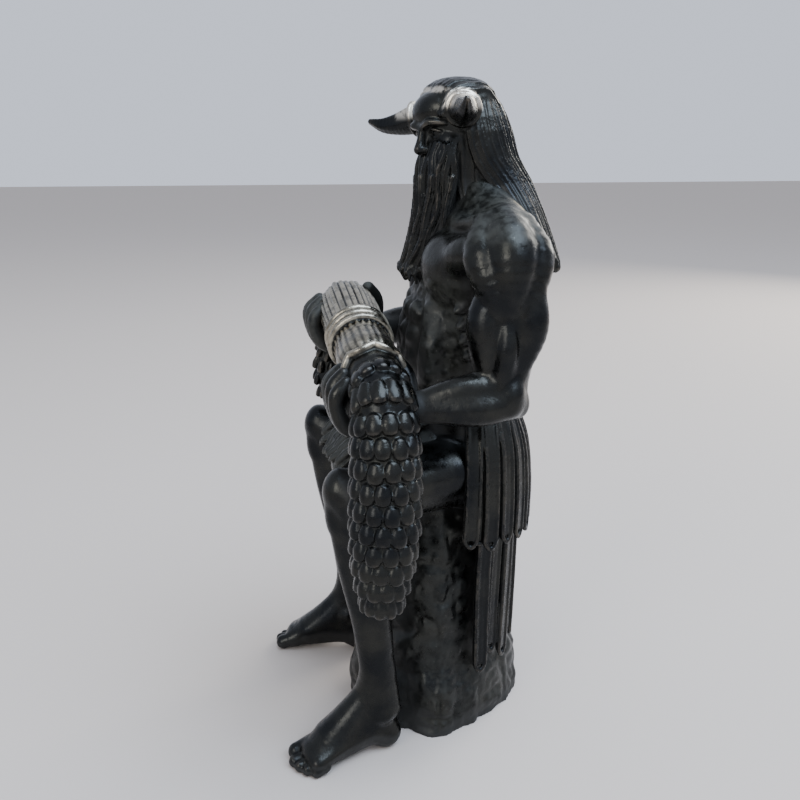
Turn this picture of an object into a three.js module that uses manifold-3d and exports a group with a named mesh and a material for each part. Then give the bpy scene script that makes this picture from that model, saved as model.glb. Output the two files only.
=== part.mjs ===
import * as THREE from "three";
import { mergeVertices } from "three/addons/utils/BufferGeometryUtils.js";
import Module from "manifold-3d";

const wasm = await Module();
wasm.setup();

// A small cast bronze of a horned, bearded man seated on a boulder with a sheaf of grain across his
// lap. Millimetres, Z up, facing -Y, his left on +X. He is one casting, so every form below is joined
// into one solid.

const BRONZE = new THREE.MeshStandardMaterial({ color: 0x2a2620, metalness: 0.8, roughness: 0.42 });
const ALONG_X = new THREE.Vector3(1, 0, 0);
const ALONG_Y = new THREE.Vector3(0, 1, 0);
const UP = new THREE.Vector3(0, 0, 1);
const SIDES = [1, -1];

// The forms are laid out from a point between the heels; this brings the middle of the box to x = y = 0.
const CENTRE_SHIFT = new THREE.Vector3(-1.51, -0.845, 0);

const bodies = [];

function vec(point) {
  return new THREE.Vector3(point[0], point[1], point[2]);
}

function radians(degrees) {
  return THREE.MathUtils.degToRad(degrees);
}

function toBody(geometry) {
  const bare = geometry.clone();
  bare.deleteAttribute("normal");
  bare.deleteAttribute("uv");
  const welded = mergeVertices(bare, 1e-5);
  const mesh = new wasm.Mesh({
    numProp: 3,
    vertProperties: new Float32Array(welded.attributes.position.array),
    triVerts: new Uint32Array(welded.index.array),
  });
  return new wasm.Manifold(mesh);
}

function add(geometry) {
  bodies.push(toBody(geometry));
}

// A closed skin over rings of points that run from the first pole to the last one.
function skin(rings, firstPole, lastPole) {
  const sides = rings[0].length;
  const positions = [];
  for (const ring of rings) {
    for (const point of ring) {
      positions.push(point.x, point.y, point.z);
    }
  }
  const first = rings.length * sides;
  const last = first + 1;
  positions.push(firstPole.x, firstPole.y, firstPole.z, lastPole.x, lastPole.y, lastPole.z);
  const faces = [];
  const top = (rings.length - 1) * sides;
  for (let side = 0; side < sides; side += 1) {
    const next = (side + 1) % sides;
    faces.push(first, next, side);
    faces.push(last, top + side, top + next);
    for (let low = 0; low < top; low += sides) {
      const high = low + sides;
      faces.push(low + side, low + next, high + next);
      faces.push(low + side, high + next, high + side);
    }
  }
  const geometry = new THREE.BufferGeometry();
  geometry.setAttribute("position", new THREE.Float32BufferAttribute(positions, 3));
  geometry.setIndex(faces);
  return geometry;
}

// A rounded form along a smooth path. Each station is x, y, z, half width, half depth; the width is
// measured towards the `across` direction. Both ends are domed.
function limb(stations, sides, across = ALONG_X, steps = 1, dome = 1, profile = () => 1) {
  const path = new THREE.CatmullRomCurve3(stations.map(vec));
  const sizes = new THREE.CatmullRomCurve3(stations.map((station) => new THREE.Vector3(station[3], station[4], 0)));
  const count = Math.round((stations.length - 1) * steps);
  const sectionAt = (t, scale, offset) => {
    const centre = path.getPoint(t);
    const tangent = path.getTangent(t);
    const size = sizes.getPoint(t);
    const wide = across.clone().addScaledVector(tangent, -across.dot(tangent)).normalize();
    const deep = new THREE.Vector3().crossVectors(tangent, wide);
    centre.addScaledVector(tangent, offset * Math.min(size.x, size.y));
    const ring = [];
    for (let side = 0; side < sides; side += 1) {
      const angle = (side / sides) * Math.PI * 2;
      const reach = scale * profile(angle, t);
      const point = centre.clone();
      point.addScaledVector(wide, Math.cos(angle) * size.x * reach);
      point.addScaledVector(deep, Math.sin(angle) * size.y * reach);
      ring.push(point);
    }
    return { ring, centre };
  };
  const rings = [sectionAt(0, 0.7, -0.7 * dome).ring];
  for (let step = 0; step <= count; step += 1) {
    rings.push(sectionAt(step / count, 1, 0).ring);
  }
  rings.push(sectionAt(1, 0.7, 0.7 * dome).ring);
  return skin(rings, sectionAt(0, 0, -dome).centre, sectionAt(1, 0, dome).centre);
}

function ball(centre, radii, turn, columns, rows) {
  const geometry = new THREE.SphereGeometry(1, columns, rows);
  geometry.rotateX(Math.PI / 2);
  geometry.scale(radii[0], radii[1], radii[2]);
  const angles = turn.map(radians);
  geometry.applyMatrix4(new THREE.Matrix4().makeRotationFromEuler(new THREE.Euler(...angles, "ZYX")));
  return geometry.translate(centre[0], centre[1], centre[2]);
}

// Boulder: a blunt diamond in plan, longer behind, over a flared foot

const ROCK = { middle: [0.1, 2.4], halfWidth: 8.9, front: 8.2, back: 10.9, bluntness: 1.45, top: 25.0 };
// Height, and how far the plan spreads there in front and behind
const ROCK_ROWS = [
  [0, 1.0, 1.0],
  [1.6, 1.0, 1.01],
  [4.8, 0.98, 0.97],
  [7.4, 0.95, 0.87],
  [16, 0.93, 0.86],
  [24, 0.86, 0.82],
];
const ROCK_COLUMNS = 22;

function rockRing([height, ahead, behind]) {
  const ring = [];
  for (let column = 0; column < ROCK_COLUMNS; column += 1) {
    const angle = (column / ROCK_COLUMNS) * Math.PI * 2;
    const halfDepth = Math.sin(angle) > 0 ? ROCK.back * behind : ROCK.front * ahead;
    const acrossShare = Math.abs(Math.cos(angle)) / (ROCK.halfWidth * 0.5 * (ahead + behind));
    const alongShare = Math.abs(Math.sin(angle)) / halfDepth;
    const shares = acrossShare ** ROCK.bluntness + alongShare ** ROCK.bluntness;
    const knocks = 0.025 * Math.sin(3 * angle + height * 0.31) + 0.025 * Math.sin(7 * angle - height * 0.47);
    const reach = (1 + knocks) / shares ** (1 / ROCK.bluntness);
    const x = ROCK.middle[0] + Math.cos(angle) * reach;
    ring.push(new THREE.Vector3(x, ROCK.middle[1] + Math.sin(angle) * reach, height));
  }
  return ring;
}

const ROCK_FOOT = new THREE.Vector3(...ROCK.middle, 0);
const ROCK_SEAT = new THREE.Vector3(...ROCK.middle, ROCK.top);
add(skin(ROCK_ROWS.map(rockRing), ROCK_FOOT, ROCK_SEAT));

// Trunk

const TRUNK = [
  [0, 5.4, 27.0, 8.2, 6.0],
  [0, 5.6, 31.0, 7.3, 5.2],
  [0, 5.6, 35.5, 6.9, 4.9],
  [0, 5.9, 40.0, 7.3, 5.0],
  [0, 6.8, 44.0, 8.8, 5.2],
  [0, 7.3, 48.2, 10.0, 4.9],
  [0, 7.3, 52.4, 6.4, 3.4],
  [0.2, 6.6, 56.0, 3.4, 2.8],
];
add(limb(TRUNK, 10, ALONG_X, 1, 0.6));

// The right shoulder is carried a little further back than the left one.
const RIGHT_BACK = 1.3;
for (const side of SIDES) {
  const back = side > 0 ? 0 : RIGHT_BACK;
  const collar = [
    [side * 2.2, 7.6, 53.6, 2.2, 2.2],
    [side * 7.4, 7.4 + back * 0.6, 51.9, 2.2, 2.5],
    [side * 11.4, 6.6 + back, 50.0, 2.4, 3.0],
  ];
  add(limb(collar, 8, UP));
  add(ball([side * 4.7, 4.3 + back * 0.5, 46.4], [4.8, 3.0, 4.0], [0, side * 14, side * 12], 10, 6));
  add(ball([side * 6.0, 9.4 + back * 0.5, 47.0], [4.4, 2.8, 4.6], [0, side * 12, side * -14], 8, 6));
}
add(ball([0, 4.5, 37.6], [5.6, 4.2, 5.4], [0, 0, 0], 10, 6));

// Arms

const LEFT_ARM = [
  [11.4, 6.7, 50.8, 2.9, 3.0],
  [12.2, 6.5, 48.2, 3.5, 3.6],
  [12.9, 6.3, 44.4, 2.8, 3.4],
  [13.1, 6.3, 41.2, 2.7, 3.3],
  [13.2, 5.9, 37.6, 2.3, 2.6],
];
const LEFT_FOREARM = [
  [13.3, 5.8, 36.2, 2.2, 2.3],
  [13.6, 3.0, 35.9, 2.1, 2.4],
  [13.4, 0.0, 35.3, 1.7, 1.8],
  [12.2, -3.0, 35.4, 1.5, 1.5],
];
const RIGHT_ARM = [
  [-11.4, 8.0, 50.8, 2.9, 3.0],
  [-12.2, 7.8, 48.2, 3.5, 3.6],
  [-13.0, 7.4, 44.6, 2.8, 3.4],
  [-13.2, 7.1, 41.6, 2.7, 3.3],
  [-13.2, 6.5, 38.4, 2.3, 2.6],
];
const RIGHT_FOREARM = [
  [-13.2, 6.2, 37.0, 2.2, 2.3],
  [-11.8, 3.2, 37.0, 2.0, 2.1],
  [-9.4, -0.4, 37.8, 1.6, 1.6],
  [-7.4, -3.4, 38.8, 1.4, 1.5],
];

// A shallow groove down the inside and the outside of the upper arm, between biceps and triceps.
function bicepsGroove(angle, t) {
  return 1 - 0.16 * Math.sin(Math.PI * t) * Math.cos(angle) ** 6;
}
for (const stations of [LEFT_ARM, RIGHT_ARM]) {
  add(limb(stations, 12, ALONG_X, 1, 1, bicepsGroove));
}
for (const stations of [LEFT_FOREARM, RIGHT_FOREARM]) {
  add(limb(stations, 10));
}

// Sheaf: fluted stalks from the far end to the neck, a triple cord, and the ears

const SHEAF = { start: [-3.4, -4.6, 41.6], finish: [11.6, -4.4, 37.7], radius: 2.75, stalks: 9, flute: 0.14 };
const CORD = { turns: 3, first: 6.4, pitch: 1.05, proud: 0.45, gap: 0.16 };

// The sheaf runs straight: rows of distance along it, radius and how deep the stalks are fluted there.
function sheafRows() {
  const rows = [
    [-0.7, SHEAF.radius - 0.7, 0],
    [0, SHEAF.radius, SHEAF.flute],
    [CORD.first - 0.6, SHEAF.radius, SHEAF.flute],
  ];
  for (let turn = 0; turn < CORD.turns; turn += 1) {
    const middle = CORD.first + turn * CORD.pitch;
    rows.push([middle - CORD.pitch / 2, SHEAF.radius - CORD.gap, 0]);
    rows.push([middle, SHEAF.radius + CORD.proud, 0]);
  }
  const after = CORD.first + (CORD.turns - 0.5) * CORD.pitch;
  rows.push([after, SHEAF.radius - CORD.gap, 0]);
  rows.push([after + 0.5, SHEAF.radius, SHEAF.flute]);
  rows.push([15.3, SHEAF.radius, SHEAF.flute]);
  return rows;
}

function sheaf() {
  const start = vec(SHEAF.start);
  const run = vec(SHEAF.finish).sub(start).normalize();
  const wide = UP.clone().addScaledVector(run, -UP.dot(run)).normalize();
  const deep = new THREE.Vector3().crossVectors(run, wide);
  const columns = SHEAF.stalks * 2;
  const rings = sheafRows().map(([along, radius, flute]) => {
    const ring = [];
    for (let column = 0; column < columns; column += 1) {
      const angle = (column / columns) * Math.PI * 2;
      const reach = radius + (column % 2 ? -flute : flute);
      const point = start.clone().addScaledVector(run, along);
      point.addScaledVector(wide, Math.cos(angle) * reach);
      ring.push(point.addScaledVector(deep, Math.sin(angle) * reach));
    }
    return ring;
  });
  return skin(rings, start.clone().addScaledVector(run, -0.9), start.clone().addScaledVector(run, 15.6));
}
add(sheaf());

const BIG_EAR = [
  [11.2, -4.4, 38.0, 2.5, 2.4],
  [13.9, -4.4, 36.8, 2.8, 2.8],
  [14.9, -4.4, 33.0, 3.0, 3.1],
  [15.2, -4.5, 27.4, 3.1, 3.2],
  [15.1, -4.7, 22.6, 2.7, 2.8],
  [15.0, -4.8, 18.6, 1.7, 1.8],
];
const SMALL_EAR = [
  [-5.6, -5.4, 38.6, 1.4, 1.4],
  [-7.2, -5.8, 37.0, 1.7, 1.7],
  [-8.0, -6.0, 34.2, 1.8, 1.8],
  [-8.5, -6.0, 31.6, 1.3, 1.3],
];

// Rows of grains round a hanging ear; each row stands half a grain round from the one above it.
function grainEar(stations, rows, perRow, relief) {
  const grains = (angle, t) => {
    const level = Math.round(t * rows * 2);
    const turn = level % 4 < 2 ? 0 : Math.PI;
    const proud = level % 2 ? 0.55 : 1;
    return 1 + relief * proud * Math.cos(perRow * angle + turn);
  };
  add(limb(stations, perRow * 2, ALONG_Y, (rows * 2) / (stations.length - 1), 1, grains));
}

grainEar(BIG_EAR, 9, 8, 0.09);
grainEar(SMALL_EAR, 3, 5, 0.1);

// Hands round the sheaf: four fingers side by side as one grooved form, a palm and a thumb

const FINGER_GROOVES = [60, 90, 120, 240, 270, 300].map(radians);

function betweenFingers(angle) {
  return FINGER_GROOVES.some((groove) => Math.abs(groove - angle) < 0.01) ? 0.74 : 1;
}

function hand(palm, grip, thumb, lean) {
  add(ball(palm.centre, palm.radii, [0, lean, 0], 8, 5));
  add(limb(grip, 24, ALONG_X, 1, 0.9, betweenFingers));
  add(limb(thumb, 6));
}

hand(
  { centre: [10.2, -4.4, 35.0], radii: [2.8, 3.2, 1.5] },
  [
    [9.6, -6.3, 33.9, 2.9, 0.95],
    [9.5, -8.1, 36.2, 2.9, 0.95],
    [9.3, -7.1, 38.6, 2.7, 0.85],
  ],
  [
    [11.0, -2.2, 35.4, 0.95, 0.95],
    [9.8, -1.4, 37.4, 0.9, 0.9],
    [8.6, -2.0, 39.2, 0.8, 0.8],
  ],
  14,
);
hand(
  { centre: [-5.0, -4.8, 38.8], radii: [2.6, 2.8, 1.7] },
  [
    [-3.9, -6.7, 37.9, 2.8, 0.95],
    [-3.9, -8.0, 40.1, 2.8, 0.95],
    [-3.8, -7.0, 42.2, 2.6, 0.85],
  ],
  [
    [-6.8, -3.0, 38.8, 0.95, 0.95],
    [-6.0, -1.8, 40.4, 0.9, 0.9],
    [-4.8, -2.0, 41.8, 0.8, 0.8],
  ],
  16,
);

// Legs and bare feet

const LEFT_THIGH = [
  [5.2, 6.0, 27.4, 3.8, 3.6],
  [7.0, 1.6, 27.4, 3.7, 3.3],
  [8.6, -3.0, 27.2, 3.4, 3.2],
  [9.2, -6.3, 26.8, 3.0, 3.1],
];
const LEFT_SHIN = [
  [9.2, -6.5, 26.2, 2.9, 3.0],
  [9.2, -5.9, 21.4, 2.6, 2.8],
  [9.3, -4.7, 16.4, 2.5, 2.6],
  [9.4, -3.8, 11.2, 1.8, 1.9],
  [9.5, -3.7, 7.0, 1.6, 1.75],
  [9.3, -3.6, 3.4, 1.8, 2.0],
];
const RIGHT_THIGH = [
  [-5.2, 6.0, 27.6, 3.8, 3.6],
  [-7.2, 1.6, 28.0, 3.7, 3.3],
  [-9.2, -3.0, 27.8, 3.4, 3.2],
  [-10.0, -5.8, 27.4, 3.0, 3.1],
];
const RIGHT_SHIN = [
  [-10.0, -5.9, 26.8, 2.9, 3.0],
  [-10.0, -4.7, 21.4, 2.6, 2.7],
  [-10.0, -3.6, 16.4, 2.5, 2.6],
  [-10.2, -2.8, 11.2, 1.8, 1.9],
  [-10.3, -2.8, 7.0, 1.6, 1.75],
  [-10.4, -3.1, 3.4, 1.8, 2.0],
];
for (const stations of [LEFT_THIGH, LEFT_SHIN, RIGHT_THIGH, RIGHT_SHIN]) {
  add(limb(stations, 10));
}

// Each toe as its offset towards the inner side, its reach from the heel and its thickness.
const TOES = [
  [1.4, 9.4, 0.82],
  [0.3, 9.7, 0.6],
  [-0.6, 9.4, 0.55],
  [-1.4, 8.9, 0.52],
  [-2.05, 8.2, 0.48],
];

// A foot pointing along -Y from its heel; inner is the side of its great toe.
function foot(heel, splay, inner) {
  const arch = [
    [0, 0, 1.5, 1.5, 1.7],
    [0, -1.8, 3.4, 1.6, 2.8],
    [-0.1 * inner, -4.4, 2.2, 1.8, 2.3],
    [-0.15 * inner, -7.2, 1.1, 2.2, 1.4],
  ];
  const pieces = [limb(arch, 8)];
  for (const [across, reach, thick] of TOES) {
    const root = [inner * across * 0.85, -6.8, 1.0, thick, thick];
    pieces.push(limb([root, [inner * across, -reach + 0.4, 0.8, thick, thick]], 5));
  }
  for (const piece of pieces) {
    piece.rotateZ(splay);
    add(piece.translate(heel[0], heel[1], 0));
  }
}
foot([8.7, -3.5], radians(12), -1);
foot([-10.1, -3.1], radians(-18), 1);

// Head, horns and face; head measures are sideways, forwards and upwards from the middle of the head

const HEAD = { centre: new THREE.Vector3(0.3, 5.6, 58.8), turn: radians(20), bow: radians(7), lean: radians(5) };

function fromHead([side, ahead, rise]) {
  const point = new THREE.Vector3(side, -ahead, rise);
  point.applyAxisAngle(ALONG_Y, -HEAD.lean);
  point.applyAxisAngle(ALONG_X, HEAD.bow);
  point.applyAxisAngle(UP, HEAD.turn);
  return point.add(HEAD.centre);
}

function headLimb(stations, sides, across = UP) {
  const placed = stations.map(([side, ahead, rise, ...size]) => [...fromHead([side, ahead, rise]).toArray(), ...size]);
  add(limb(placed, sides, across));
}

function headBall(centre, radii, columns, rows) {
  const geometry = ball([0, 0, 0], radii, [0, 0, 0], columns, rows);
  geometry.rotateY(-HEAD.lean);
  geometry.rotateX(HEAD.bow);
  geometry.rotateZ(HEAD.turn);
  const place = fromHead(centre);
  add(geometry.translate(place.x, place.y, place.z));
}

headBall([0, -0.1, 0.1], [3.6, 4.0, 3.8], 10, 6);
headBall([0, 1.2, -1.7], [3.1, 3.1, 3.2], 8, 6);
headLimb([[0, 3.7, 0.7, 0.4, 0.4], [0, 4.4, -1.5, 0.6, 0.6]], 6, ALONG_X);
for (const side of SIDES) {
  headLimb([
    [side * 3.2, 1.7, 1.7, 1.5, 1.5],
    [side * 5.0, 2.7, 1.5, 1.3, 1.35],
    [side * 6.8, 3.8, 1.5, 1.0, 1.0],
    [side * 8.2, 4.7, 2.3, 0.35, 0.35],
  ], 8);
  headLimb([[side * 0.5, 3.95, 0.75, 0.4, 0.4], [side * 2.6, 3.0, 0.7, 0.35, 0.35]], 5);
  headLimb([[side * 0.2, 4.2, -2.2, 0.4, 0.4], [side * 2.1, 3.1, -3.6, 0.3, 0.3]], 5);
  headBall([side * 1.35, 3.35, 0.1], [0.75, 0.5, 0.45], 6, 4);
  headBall([side * 2.0, 2.7, -1.3], [1.0, 0.9, 0.9], 6, 4);
}

// Drapes: a row of ridges round part of a ring, and a plain face round the rest

// The columns of a drape. Each ridge repeats the profile, where 1 stands proud and 0 is the groove.
function drapeColumns(ridges, profile, halfArc, plain) {
  const columns = [];
  const steps = ridges * profile.length;
  for (let step = 0; step <= steps; step += 1) {
    const angle = halfArc * ((2 * step) / steps - 1);
    columns.push({ angle, proud: profile[step % profile.length], ridge: Math.floor(step / profile.length) });
  }
  for (let step = 1; step <= plain; step += 1) {
    columns.push({ angle: halfArc + ((Math.PI - halfArc) * 2 * step) / (plain + 1), proud: 1, ridge: -1 });
  }
  return columns;
}

// Levels run downwards as x, y, z, half width, half depth. The ridges look along +Y where facing is 1
// and along -Y where it is -1, and each ends lower than its grooves.
function drape(levels, columns, facing, relief, tipLength) {
  const rings = levels.map(([x, y, z, wide, deep], level) => {
    const last = level === levels.length - 1;
    return columns.map(({ angle, proud, ridge }) => {
      const cut = (1 - proud) * relief;
      const tip = last && ridge >= 0 ? proud * tipLength * (1 + 0.45 * Math.sin(ridge * 2.3)) : 0;
      const across = Math.sin(angle) * (wide - cut) * facing;
      const along = Math.cos(angle) * (deep - cut) * facing;
      return new THREE.Vector3(x + across, y + along, z - tip);
    });
  });
  const start = vec(levels[0]).add(new THREE.Vector3(0, 0, 0.3));
  return skin(rings, start, vec(levels.at(-1)));
}

// Hair combed back into a mantle of strands down to the shoulder blades
const MANE = [
  [0.2, 6.5, 63.2, 1.6, 1.3],
  [0.2, 6.5, 62.4, 3.0, 2.4],
  [0.2, 6.4, 60.8, 4.2, 3.1],
  [0.2, 6.7, 58.6, 4.8, 3.8],
  [0.1, 7.5, 56.2, 5.0, 3.7],
  [0, 8.8, 54.0, 5.4, 3.5],
  [0, 10.0, 51.8, 6.6, 3.2],
  [0, 11.4, 49.4, 7.6, 3.0],
  [0, 12.4, 47.8, 7.9, 2.7],
];
add(drape(MANE, drapeColumns(11, [0, 1], radians(108), 3), 1, 0.55, 1.0));

// Side hair falling before the ears to the shoulders
for (const side of SIDES) {
  const lock = [
    [0.3 + side * 3.6, 5.6, 60.4, 0.9, 2.0],
    [0.3 + side * 3.9, 6.0, 57.0, 1.0, 2.2],
    [side * 4.4, 6.4, 53.8, 1.1, 2.3],
    [side * 5.0, 6.4, 51.6, 1.0, 2.0],
  ];
  add(limb(lock, 8, ALONG_X, 1, 0.5));
}

// Beard: long locks from the cheeks over the chest
const BEARD = [
  [1.2, 3.6, 57.6, 3.2, 1.8],
  [1.2, 3.6, 55.4, 3.5, 2.3],
  [0.7, 3.5, 52.0, 3.6, 2.2],
  [-0.1, 3.1, 49.2, 3.6, 2.1],
  [-1.2, 2.4, 46.0, 3.2, 2.0],
];
add(drape(BEARD, drapeColumns(7, [0, 1], radians(104), 2), -1, 0.5, 1.6));

// Leaf skirt: long straps in two layers round the back, and broad leaves over the lap
const UPPER_SKIRT = [
  [0, 5.8, 33.6, 7.4, 5.3],
  [0, 5.5, 29.4, 9.2, 7.2],
  [0, 5.1, 25.2, 10.0, 8.0],
  [0, 5.0, 22.0, 10.1, 8.2],
];
const LOWER_SKIRT = [
  [0, 4.4, 23.0, 8.8, 7.6],
  [0, 4.4, 16.0, 8.6, 7.6],
  [0, 4.4, 8.8, 8.3, 7.6],
];
add(drape(UPPER_SKIRT, drapeColumns(13, [0, 1, 1], radians(98), 2), 1, 0.5, 0.9));
add(drape(LOWER_SKIRT, drapeColumns(8, [0, 1, 1], radians(66), 2), 1, 0.5, 1.0));

const LAP = [
  [0, 1.6, 28.8, 6.4, 3.0],
  [0, -2.2, 28.0, 6.0, 2.6],
  [-0.4, -5.0, 27.0, 5.6, 2.0],
];
add(limb(LAP, 10));
const LAP_LEAVES = 5;
for (let strap = 0; strap < LAP_LEAVES; strap += 1) {
  const across = (strap / (LAP_LEAVES - 1)) * 2 - 1;
  const length = 0.8 * Math.sin(strap * 2.1);
  const leaf = [
    [across * 4.4, 1.4, 32.0, 0.9, 0.6],
    [across * 5.2 - 0.2, -2.6, 30.6, 1.05, 0.6],
    [across * 5.4 - 0.6, -6.0, 29.0, 1.1, 0.6],
    [across * 5.2 - 0.8, -7.4, 27.4 + length, 0.85, 0.6],
  ];
  add(limb(leaf, 5));
}
// Two longer leaves hang between the shins: x at the top, x at the tip and the tip's height
const FRONT_TIPS = [
  [1.2, 2.2, 18.4],
  [-1.6, -1.9, 20.2],
];
for (const [start, end, low] of FRONT_TIPS) {
  const leaf = [
    [start, -5.0, 27.0, 1.1, 0.7],
    [(start + end) / 2, -6.2, 23.0, 1.2, 0.7],
    [end, -6.5, low, 0.8, 0.6],
  ];
  add(limb(leaf, 6));
}

// The forms leave closed pockets inside where they meet; the cast metal fills them.
function filled(body) {
  const shells = body.decompose();
  return shells.reduce((best, shell) => (shell.volume() > best.volume() ? shell : best));
}

function toGeometry(body) {
  const mesh = body.getMesh();
  const geometry = new THREE.BufferGeometry();
  geometry.setAttribute("position", new THREE.Float32BufferAttribute(mesh.vertProperties, 3));
  geometry.setIndex(Array.from(mesh.triVerts));
  return geometry.translate(CENTRE_SHIFT.x, CENTRE_SHIFT.y, CENTRE_SHIFT.z);
}

// One casting, standing flat at z = 0
const belowGround = toBody(new THREE.BoxGeometry(60, 60, 10).translate(0, 0, -5));
const casting = filled(wasm.Manifold.union(bodies).subtract(belowGround));
const figure = new THREE.Mesh(toGeometry(casting), BRONZE);
figure.name = "horned_farmer_figure";

const root = new THREE.Group();
root.name = "root";
root.add(figure);

export default root;
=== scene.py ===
import math
from concurrent.futures import ThreadPoolExecutor

import bpy
import numpy as np
import openvdb
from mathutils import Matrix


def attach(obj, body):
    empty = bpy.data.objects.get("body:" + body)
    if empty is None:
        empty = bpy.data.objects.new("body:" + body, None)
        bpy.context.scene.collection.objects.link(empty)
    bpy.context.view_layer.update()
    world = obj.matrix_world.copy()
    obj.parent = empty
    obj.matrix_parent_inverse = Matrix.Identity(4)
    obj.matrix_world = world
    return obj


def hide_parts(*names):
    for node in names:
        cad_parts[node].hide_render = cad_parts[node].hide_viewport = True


# A small cast bronze of a horned, bearded man seated on a boulder with a sheaf of grain across his lap.
# He is modelled in millimetres from a point between his heels, facing -Y with his left on +X. Each
# piece is a field of distances to its surface that becomes a mesh in the frame's metres.

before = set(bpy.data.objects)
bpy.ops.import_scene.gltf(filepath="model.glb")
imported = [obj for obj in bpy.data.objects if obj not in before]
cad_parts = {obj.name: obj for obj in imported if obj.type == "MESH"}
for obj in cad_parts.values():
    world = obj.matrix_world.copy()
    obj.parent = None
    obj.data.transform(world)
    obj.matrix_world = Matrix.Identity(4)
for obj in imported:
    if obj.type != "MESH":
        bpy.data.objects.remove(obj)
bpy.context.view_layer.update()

CENTRE_SHIFT = np.array([-1.51, -0.845, 0.0])
FAR = 3.0
ALONG_X = np.array([1.0, 0.0, 0.0])
ALONG_Y = np.array([0.0, 1.0, 0.0])
UP = np.array([0.0, 0.0, 1.0])
SIDES = (1, -1)


def unit(direction):
    return direction / np.linalg.norm(direction)


def turned(angles):
    """The matrix of turns about X, then Y, then Z, in degrees."""
    a, b, c = np.radians(angles)
    about_x = np.array([[1, 0, 0], [0, math.cos(a), -math.sin(a)], [0, math.sin(a), math.cos(a)]])
    about_y = np.array([[math.cos(b), 0, math.sin(b)], [0, 1, 0], [-math.sin(b), 0, math.cos(b)]])
    about_z = np.array([[math.cos(c), -math.sin(c), 0], [math.sin(c), math.cos(c), 0], [0, 0, 1]])
    return about_z @ about_y @ about_x


def smooth(stations, pieces):
    """A curve through the rows of stations, with that many pieces in each gap."""
    rows = np.array(stations, float)
    padded = np.vstack([2 * rows[0] - rows[1], rows, 2 * rows[-1] - rows[-2]])
    curve = []
    for gap in range(len(rows) - 1):
        before, first, last, after = padded[gap : gap + 4]
        for piece in range(pieces):
            t = piece / pieces
            bend = 2 * before - 5 * first + 4 * last - after
            twist = 3 * first - before - 3 * last + after
            curve.append(0.5 * (2 * first + (last - before) * t + bend * t**2 + twist * t**3))
    curve.append(rows[-1])
    return np.array(curve)


def tube(rows):
    """Rows of x, y, z, radius as stations of a stroke."""
    return [(x, y, z, radius, radius) for x, y, z, radius in rows]


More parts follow.
